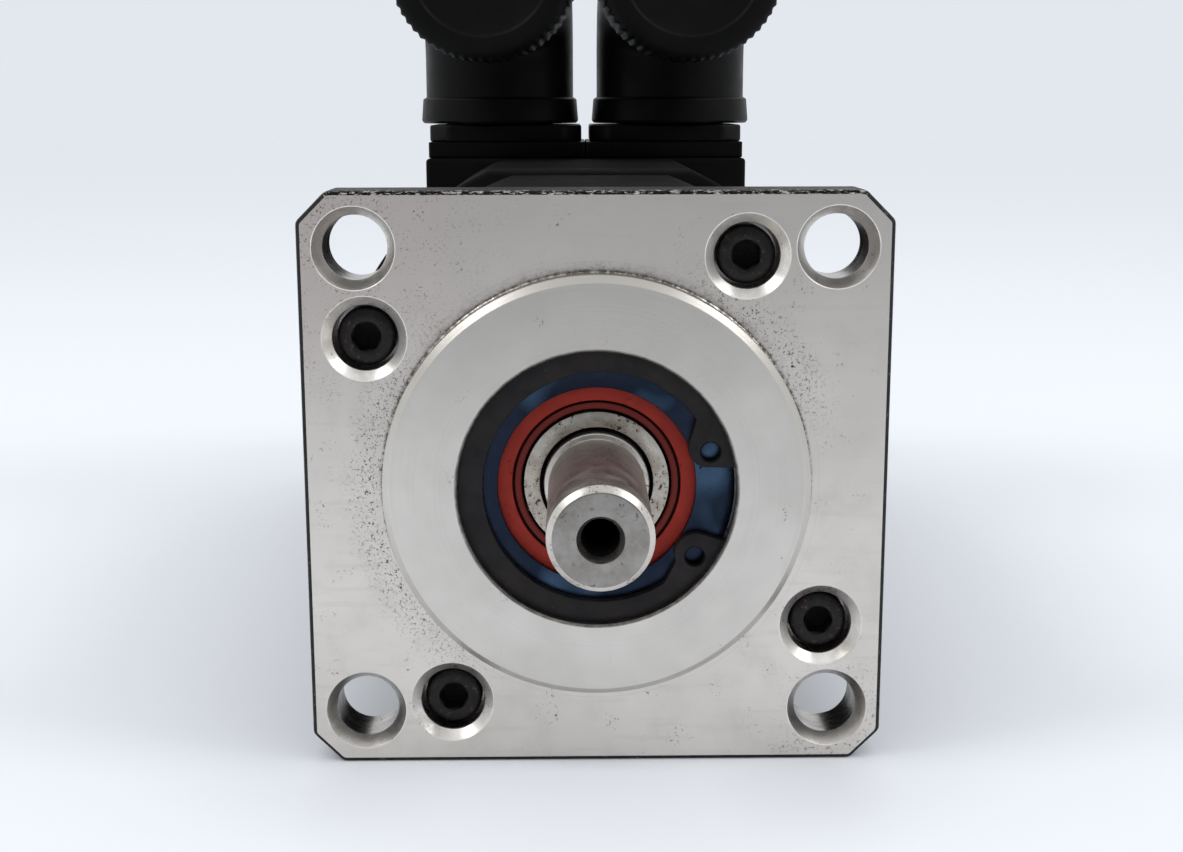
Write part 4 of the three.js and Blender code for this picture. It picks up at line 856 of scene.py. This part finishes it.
def bearing_pieces(prefix, front):
    middle, back = front + 4, front + 8
    outer = [(11.1, front), (12.96, front), (12.96, back), (11.1, back), (11.1, middle + 1.5)]
    outer += [(9.05 + 2.42 * math.cos(a), middle + 2.42 * math.sin(a)) for a in (0.55, 0.3, 0, -0.3, -0.55)]
    outer += [(11.1, middle - 1.5)]
    turned_ring(f"{prefix}_outer_ring", outer, RING_STEEL)
    face = front + 0.2
    gap = 0.9 if front < 5 else 0.3
    inner = [(5.02, face + gap + 0.2), (5.34, face + gap), (5.37, face), (6.86, face), (6.86, middle - 1.5)]
    inner += [(8.95 - 2.42 * math.cos(a), middle + 2.42 * math.sin(a)) for a in (-0.55, -0.3, 0, 0.3, 0.55)]
    inner += [(6.86, middle + 1.5), (6.86, back), (5.37, back), (5.02, back - 0.35)]
    bm = bmesh.new()
    lathe(bm, soften(inner, 0.05), 144)
    # Painted shade: the narrow gap at the inner ring's bore is painted near-black.
    paint(bm, 1, (0, 5.362), (face + 0.06, face + 1.2))
    build(bm, f"{prefix}_inner_ring", (FRONT_RING, PAINTED_RECESS_SHADE), "output_shaft")
    bm = bmesh.new()
    cage = [(8.4, middle - 0.8), (9.6, middle - 0.8), (9.6, middle + 0.8), (8.4, middle + 0.8)]
    lathe(bm, soften(cage, 0.2), 72)
    for k in range(BALLS):
        x, z = polar(9, 360 * k / BALLS)
        bmesh.ops.create_icosphere(bm, subdivisions=3, radius=2.3, matrix=Matrix.Translation((x, middle, z)))
    body = prefix.replace("_bearing", "_balls")
    build(bm, f"{prefix}_balls", (BALL_STEEL,), body)


def seal():
    """Rubber seal with a narrow groove outside its inner lip."""
    profile = [
        (11.05, 1.35), (11.05, 0.8), (10.2, 0.72), (8.02, 0.70), (7.96, 0.78), (7.94, 1.2), (7.78, 1.2),
        (7.72, 0.86), (7.6, 0.80), (7.22, 0.84), (7.1, 1.0), (7.1, 1.35),
    ]
    bm = bmesh.new()
    lathe(bm, soften(profile, 0.04), 144)
    # Painted shade: the groove's faces outside the inner lip are painted near-black.
    paint(bm, 1, (7.74, 7.99), (0.82, 1.25))
    build(bm, "front_bearing_seal", (RUBBER, PAINTED_RECESS_SHADE), "housing")


def output_shaft():
    """Tip chamfer, tapped centre hole with its thread, bearing seat, shoulder and planet carrier."""
    bm = bmesh.new()
    thread = []
    depth, pitch = SHAFT_TIP + 1.1, 0.7
    while depth < SHAFT_TIP + 9:
        thread += [(1.62, depth), (1.95, depth + 0.5 * pitch)]
        depth += pitch
    outside = [
        (2.02, SHAFT_TIP), (SHAFT_RADIUS - 0.55, SHAFT_TIP), (SHAFT_RADIUS, SHAFT_TIP + 0.6),
        (SHAFT_RADIUS, -0.9), (SHAFT_RADIUS - 0.18, -0.7), (SHAFT_RADIUS - 0.18, -0.15),
        (SEAT_RADIUS - 0.1, -0.1), (SEAT_RADIUS, 0.0), (SEAT_RADIUS, 19.65), (6.5, 19.65), (6.5, 20.9),
        (17.7, 20.9), (18, 21.2), (18, 24.6), (17.7, 24.9),
        (6.2, 24.9), (6.0, 24.5), (0, 24.5),
    ]
    profile = [(0, SHAFT_TIP + 11), (1.6, SHAFT_TIP + 10)] + thread[::-1] + [(1.62, SHAFT_TIP + 0.95)]
    lathe(bm, profile + soften(outside, 0.08, closed=False), 128)
    # Painted shade: the tapped hole and its thread are painted near-black.
    paint(bm, 1, (0, 2.0), (SHAFT_TIP + 0.5, 0))
    # Painted shade: the shaft's end face takes the darker end finish.
    paint(bm, 2, (2.0, SHAFT_RADIUS - 0.5), (SHAFT_TIP - 0.1, SHAFT_TIP + 0.08))
    build(bm, "output_shaft", (SHAFT, PAINTED_RECESS_SHADE, SHAFT_END_SHADED), "output_shaft")


def socket_screw(node, length, place, hex_turn, turn=Matrix.Identity(4), body="housing"):
    """Socket-head screw with a deep hexagon, a well-rounded head edge and a plain shank."""
    flat = 1.25

    def corner(angle):
        return flat / math.cos(math.radians((angle - hex_turn) % 60 - 30))

    def mouth(angle):
        return max(1.42, 0.985 * corner(angle))

    def floor(angle):
        return 0.6 * corner(angle)

    profile = [(0, 2.1), (floor, 1.95), (corner, 1.9), (corner, 0.14), (mouth, 0.02), (1.56, 0.0)]
    outside = [
        (2.05, 0.0), (2.4, 0.07), (2.62, 0.22), (HEAD_RADIUS, 0.5), (HEAD_RADIUS, HEAD_LENGTH),
        (SHANK_RADIUS, HEAD_LENGTH), (SHANK_RADIUS, HEAD_LENGTH + length - 0.4),
        (SHANK_RADIUS - 0.4, HEAD_LENGTH + length), (0, HEAD_LENGTH + length),
    ]
    bm = bmesh.new()
    lathe(bm, profile + soften(outside, 0.12, closed=False), 72, start=hex_turn)
    # Painted shade: the hexagon socket is painted near-black.
    paint(bm, 1, (0, 1.46), (0.05, 2.2))
    matrix = TO_ROW @ Matrix.Translation(place) @ turn
    build(bm, node, (SCREW, PAINTED_RECESS_SHADE), body, matrix, sharp=28)


def screw_sets():
    for k, (angle, turn) in enumerate(zip(SCREW_ANGLES, HEX_TURNS), 1):
        x, z = polar(SCREW_CIRCLE, angle)
        socket_screw(f"flange_screw_{k}", 11, (x, SCREW_FACE, z), turn)
        socket_screw(f"adapter_screw_{k}", 11, (x, 53.6, z), 0, BACKWARDS)
        x, z = polar(TIE_BOLT_CIRCLE, 90 * k - 45)
        socket_screw(f"tie_bolt_{k}", 77.7, (x, 127.7, z), 15 * k, BACKWARDS)
    socket_screw("clamp_screw", 12.2, CLAMP_PLACE, 0, SIDEWAYS, "motor_shaft")


def output_end():
    output_flange()
    retaining_ring()
    ring = [(9.33, -0.25), (12.96, -0.25), (12.96, 0.55), (9.33, 0.55)]
    turned_ring("support_ring", ring, BLUED, 0.1)
    bearing_pieces("front_bearing", 0.6)
    bearing_pieces("rear_bearing", 11.6)
    seal()
    output_shaft()
    screw_sets()


# ---------------------------------------------------------------- gear case and motor

def gear_housing():
    bm = bmesh.new()
    outline = scalloped_square(27, 28.5, 5, MOUNT_OFFSET)
    bore = [(19.4, 6.6), (19.1, 6.9), (19.1, 12), (23.2, 12), (23.2, 43.7), (23.5, 44)]
    holes = [((0, 0), bore, 144)]
    for angle in SCREW_ANGLES:
        place = polar(SCREW_CIRCLE, angle)
        holes.append((place, [(1.6, 6.6), (1.6, 17), (0, 17.6)], 32))
        holes.append((place, [(0, 33), (1.6, 33.6), (1.6, 44)], 32))
    prism(bm, outline, 6.6, 44, 0.35, holes)
    build(bm, "gear_housing", (BODY_BLACK,), "housing")


def adapter_plate():
    """Plate between gear case and motor, closed against both so that no light passes the joints."""
    front, back = ADAPTER_SPAN
    bm = bmesh.new()
    holes = [((0, 0), [(14.2, front), (14.2, back)], 96)]
    for angle in SCREW_ANGLES:
        through = [(1.6, front), (1.6, 50.6), (2.95, 50.6), (2.95, back)]
        holes.append((polar(SCREW_CIRCLE, angle), through, 40))
        holes.append((polar(TIE_BOLT_CIRCLE, angle - 12), [(0, 45.5), (1.6, 46), (1.6, back)], 32))
    prism(bm, rounded_square(BODY_HALF, BODY_ROUND), front, back, 0.5, holes)
    piece = finish_mesh(bm, "adapter_plate_fine", (BODY_BLACK,))
    tool = bmesh.new()
    lathe(tool, [(0, -28), (3.2, -28), (2.9, -27.2), (2.9, -10), (0, -10)], 64)
    cutter = finish_mesh(tool, "access_cutter", (), TO_ROW @ Matrix.Translation(ACCESS_PLACE) @ SIDEWAYS)
    combine(piece, cutter, "DIFFERENCE")
    fit(piece, "housing", "adapter_plate")


def access_plug():
    """Plastic plug with a hexagon, in the hole that reaches the clamp screw."""
    def corner(angle):
        return 1.25 / math.cos(math.radians(angle % 60 - 30))

    bm = bmesh.new()
    profile = [
        (0, -25.7), (corner, -25.7), (corner, -27.2), (1.6, -27.3), (2.6, -27.3), (2.85, -27.05),
        (2.85, -18), (0, -18),
    ]
    lathe(bm, profile, 60)
    matrix = TO_ROW @ Matrix.Translation(ACCESS_PLACE) @ SIDEWAYS
    build(bm, "access_plug", (PLUG_PLASTIC,), "housing", matrix)


def motor_housing():
    bm = bmesh.new()
    bore = [(8, 54.1), (8, 55), (11.02, 55), (11.02, 62.05), (22.6, 62.05), (22.6, 111.7), (22.9, 112)]
    holes = [((0, 0), bore, 144)]
    holes += [straight_hole(polar(TIE_BOLT_CIRCLE, 90 * k + 45), 1.6, 54.1, 112, 0.1, 32) for k in range(4)]
    prism(bm, rounded_square(BODY_HALF, BODY_ROUND), 54.1, 112, 0.5, holes)
    piece = finish_mesh(bm, "motor_housing_fine", (BODY_BLACK,))
    pad = bmesh.new()
    prism(pad, rectangle(-23, 23, 17, 27.5, 0.6), 88, 112, 0.5)
    combine(piece, finish_mesh(pad, "pad", ()), "UNION")
    for side in (-1, 1):
        hole = bmesh.new()
        lathe(hole, [(0, -29), (4.2, -29), (4.2, -10), (0, -10)], 48)
        matrix = connector_place(side) @ UPRIGHT
        combine(piece, finish_mesh(hole, "wire_hole", (), matrix), "DIFFERENCE")
    fit(piece, "housing", "motor_housing")


def rear_cover():
    """Cover over the encoder, closed against the motor housing so that no light passes the joint."""
    front, back = COVER_SPAN
    bm = bmesh.new()
    holes = [((0, 0), [(0, 124.5), (21.2, 124.5), (21.5, 124.2), (21.5, front)], 144)]
    bolt = [(1.6, front), (1.6, 124.7), (2.95, 124.7), (2.95, back - 0.25), (3.2, back)]
    for k in range(4):
        holes.append((polar(TIE_BOLT_CIRCLE, 90 * k + 45), bolt, 48))
    prism(bm, rounded_square(BODY_HALF, BODY_ROUND), front, back, 0.9, holes)
    build(bm, "rear_cover", (BODY_BLACK,), "housing")


def gear_case_and_motor():
    gear_housing()
    adapter_plate()
    access_plug()
    motor_housing()
    rear_cover()


# ---------------------------------------------------------------- connectors

def connector_base(name, side):
    """Flat foot, square boss with cut corners and the ring that the elbow turns in."""
    bm = bmesh.new()
    inner, outer = BASE_SIDES[0] - CONNECTOR_X, BASE_SIDES[1] - CONNECTOR_X
    near, half, cut = BASE_INNER_EDGE - CONNECTOR_X, 10.4, 2.8
    sides = (near, outer) if side > 0 else (-outer, -near)
    prism(bm, rectangle(*sides, -half, half, 0.5), -29.8, -27.55, 0.15,
          [((0, 0), [(8.3, -29.8), (8.3, -27.55)], 64)])
    x0, x1 = (inner, outer) if side > 0 else (-outer, -inner)
    boss = soften([(x0, cut - half), (x0 + cut, -half), (x1 - cut, -half), (x1, cut - half), (x1, half - cut),
                   (x1 - cut, half), (x0 + cut, half), (x0, half - cut)], 0.6)
    prism(bm, boss, -32.2, -29.82, 0.3, [((0, 0), [(8.3, -32.2), (8.3, -29.82)], 64)])
    matrix = connector_place(side) @ UPRIGHT
    build(bm, f"{name}_connector_base", (CONNECTOR_BLACK,), "housing", matrix)


def swivel(side):
    return connector_place(side) @ Matrix.Rotation(side * math.radians(BARREL_SPLAY), 4, "Z")


def elbow_rings(bm, tube, bend, segments):
    """The bent body as rings swept from the swivel collar up and round to the barrel's mouth."""
    stations = []
    low, high = COLLAR_RING_TOP, BARREL_HEIGHT - bend
    for k in range(4):
        stations.append((Vector((0, 0, low + (high - low) * k / 3)), 0.0, tube))
    for k in range(1, 13):
        angle = math.pi / 2 * k / 12
        centre = Vector((0, -bend * (1 - math.cos(angle)), high + bend * math.sin(angle)))
        stations.append((centre, angle, tube + 0.05 * k / 12))
    rings = []
    for centre, angle, radius in stations:
        across, up = Vector((1, 0, 0)), Vector((0, math.cos(angle), math.sin(angle)))
        ring = []
        for s in range(segments):
            a = TAU * s / segments
            ring.append(bm.verts.new(centre + across * radius * math.cos(a) + up * radius * math.sin(a)))
        rings.append(ring)
    for lower, upper in zip(rings, rings[1:]):
        bridge(bm, lower, upper, 0)
    return rings


def ring_loop(bm, radius, place, segments, vertical):
    loop = []
    for s in range(segments):
        a = TAU * s / segments
        x, other = radius * math.cos(a), radius * math.sin(a)
        loop.append(bm.verts.new(place + Vector((x, other, 0) if vertical else (x, 0, other))))
    return loop


def connector_elbow(name, side):
    bm = bmesh.new()
    segments, bend = 96, 11.2
    rings = elbow_rings(bm, NECK_RADIUS, bend, segments)
    below = soften([(NECK_RADIUS, COLLAR_RING_TOP), (11.45, 35.9), (11.7, 32.8), (11.4, 32.4), (8.0, 32.4),
                    (8.0, 28.5), (7.7, 28.2), (4.0, 28.2)], 0.15, closed=False)
    previous = rings[0]
    for radius, height in below[1:]:
        loop = ring_loop(bm, radius, Vector((0, 0, height)), segments, True)
        bridge(bm, previous, loop, 0)
        previous = loop
    up_passage = ring_loop(bm, 4.0, Vector((0, 0, 45)), segments, True)
    bridge(bm, previous, up_passage, 0)
    bm.faces.new(up_passage)
    front = soften([(11.0, 11.2), (11.0, 13.2), (10.4, 13.5), (10.4, 15.0), (11.0, 15.3), (11.0, 26.3),
                    (10.6, 26.7), (8.5, 26.7), (8.5, 10.0)], 0.12, closed=False)
    previous = rings[-1]
    for radius, reach in front[1:]:
        loop = ring_loop(bm, radius, Vector((0, -reach, BARREL_HEIGHT)), segments, False)
        bridge(bm, previous, loop, 0)
        previous = loop
    bm.faces.new(previous)
    body = f"{name}_elbow"
    build(bm, f"{name}_connector_elbow", (CONNECTOR_BLACK,), body, swivel(side))


def contact_insert(name, side, contacts):
    bm = bmesh.new()
    body = soften([(0, -16.3), (8.2, -16.3), (8.2, -10.3), (0, -10.3)], 0.3, closed=False)
    lathe(bm, body, 64, centre=(0, BARREL_HEIGHT))
    for k in range(contacts):
        x, z = polar(5.7, 360 * k / contacts)
        pin = soften([(0, -23), (0.6, -23), (0.6, -16.2), (0, -16.2)], 0.3, closed=False)
        lathe(bm, pin, 20, centre=(x, BARREL_HEIGHT + z), material=1)
    materials = (INSERT_PLASTIC, RING_STEEL)
    build(bm, f"{name}_contact_insert", materials, f"{name}_elbow", swivel(side))


def dust_cap(name, side):
    """Round cap with a finely ribbed rim, a stepped face and a wide shallow centre disc."""
    teeth = 60

    def ribbed(angle):
        return 12.27 + 0.13 * math.cos(math.radians(angle * teeth))

    def shallow(angle):
        return 12.18 + 0.07 * math.cos(math.radians(angle * teeth))

    outside = [
        (0, -29.6), (8.8, -29.6), (9.1, -29.75), (9.3, -29.97), (9.6, -30.0), (11.2, -30.0), (11.8, -29.7),
        (shallow, -29.2), (ribbed, -28.6), (ribbed, -19.4), (shallow, -18.9), (11.9, -18.6), (11.9, -14.3),
        (11.7, -14.0),
    ]
    inside = [(11.35, -14.0), (11.3, -14.2), (11.3, -26.7), (11.0, -27.0), (0, -27.0)]
    bm = bmesh.new()
    lathe(bm, outside + inside, 8 * teeth, centre=(0, BARREL_HEIGHT))
    build(bm, f"{name}_dust_cap", (CAP_PLASTIC,), f"{name}_cap", swivel(side), sharp=40)


def connectors():
    for name, side, contacts in (("power", 1, 6), ("signal", -1, 9)):
        connector_base(name, side)
        connector_elbow(name, side)
        contact_insert(name, side, contacts)
        dust_cap(name, side)


# ---------------------------------------------------------------- carried-over CAD nodes

def dress_hidden_nodes():
    """The inner pieces keep their CAD shape and take a finish of their own."""
    finishes = {
        "ring_gear": GEAR, "planet_gear": GEAR, "sun_pinion": GEAR, "clamp_collar": GEAR, "bearing_spacer": GEAR,
        "planet_pin": RING_STEEL, "motor_front_bearing": RING_STEEL, "motor_rear_bearing": RING_STEEL,
        "rotor_shaft": SHAFT, "rotor_core": LAMINATION, "stator_core": LAMINATION, "stator_winding": COPPER,
        "rotor_magnet": MAGNET, "encoder_disc": BALL_STEEL, "encoder_board": BOARD, "rear_bracket": TURNED,
    }
    for prefix, material in finishes.items():
        for name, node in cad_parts.items():
            if name.startswith(prefix):
                node.data.materials.clear()
                node.data.materials.append(material)


# ---------------------------------------------------------------- stage

BACKDROP = (0.77, 0.80, 0.857)
FLOOR_COLOUR = (0.90, 0.925, 0.975)
ROOM_LIGHT, ROOM_SHADE = 0.93, 0.10
SOFTBOX_POWER, SOFTBOX_DISTANCE, SOFTBOX_SIZE = 0.6, 0.6, 0.2
SOFTBOXES = {"softbox_left": (-0.63, -0.16, 0.76), "softbox_right": (0.68, -0.155, 0.71)}


def make_stage():
    bm = bmesh.new()
    bmesh.ops.create_grid(bm, x_segments=8, y_segments=8, size=2.5)
    floor = finish_mesh(bm, "floor", (), Matrix.Identity(4))
    paper = bpy.data.materials.new("pale_floor")
    paper.use_nodes = True
    shader = paper.node_tree.nodes["Principled BSDF"]
    shader.inputs["Base Color"].default_value = (*FLOOR_COLOUR, 1)
    shader.inputs["Roughness"].default_value = 0.9
    shader.inputs["Specular IOR Level"].default_value = 0.0
    floor.data.materials.append(paper)


def make_studio():
    """A bright room, darker low down on the shaft's side.
    Behind the object it shows a pale backdrop."""
    world = bpy.data.worlds.new("studio")
    world.use_nodes = True
    tree = world.node_tree
    room = tree.nodes["Background"]

    direction = tree.nodes.new("ShaderNodeTexCoord").outputs["Generated"]
    split = add_node(tree, "ShaderNodeSeparateXYZ", Vector=direction)
    shade = tree.nodes.new("ShaderNodeMath")
    shade.operation = "MULTIPLY"
    tree.links.new(map_range(tree, split.outputs[1], -0.95, -0.35, 1, 0), shade.inputs[0])
    tree.links.new(map_range(tree, split.outputs[2], 0.25, 0.75, 1, 0), shade.inputs[1])
    room.inputs["Color"].default_value = (0.97, 0.985, 1.0, 1)
    strength = map_range(tree, shade.outputs[0], 0, 1, ROOM_LIGHT, ROOM_SHADE)
    tree.links.new(strength, room.inputs["Strength"])
    backdrop = add_node(tree, "ShaderNodeBackground", Color=(*BACKDROP, 1))
    seen = tree.nodes.new("ShaderNodeLightPath")
    choose = tree.nodes.new("ShaderNodeMixShader")
    tree.links.new(seen.outputs["Is Camera Ray"], choose.inputs[0])
    tree.links.new(room.outputs[0], choose.inputs[1])
    tree.links.new(backdrop.outputs[0], choose.inputs[2])
    tree.links.new(choose.outputs[0], tree.nodes["World Output"].inputs["Surface"])
    bpy.context.scene.world = world
    bpy.context.scene.view_settings.view_transform = "Standard"


def make_lights():
    for name, direction in SOFTBOXES.items():
        data = bpy.data.lights.new(name, "AREA")
        data.size = SOFTBOX_SIZE
        data.energy = SOFTBOX_POWER
        light = bpy.data.objects.new(name, data)
        bpy.context.scene.collection.objects.link(light)
        away = Vector(direction).normalized()
        light.location = ORIGIN + away * SOFTBOX_DISTANCE
        light.rotation_euler = away.to_track_quat("Z", "Y").to_euler()


make_camera()
output_end()
gear_case_and_motor()
connectors()
dress_hidden_nodes()
make_stage()
make_studio()
make_lights()
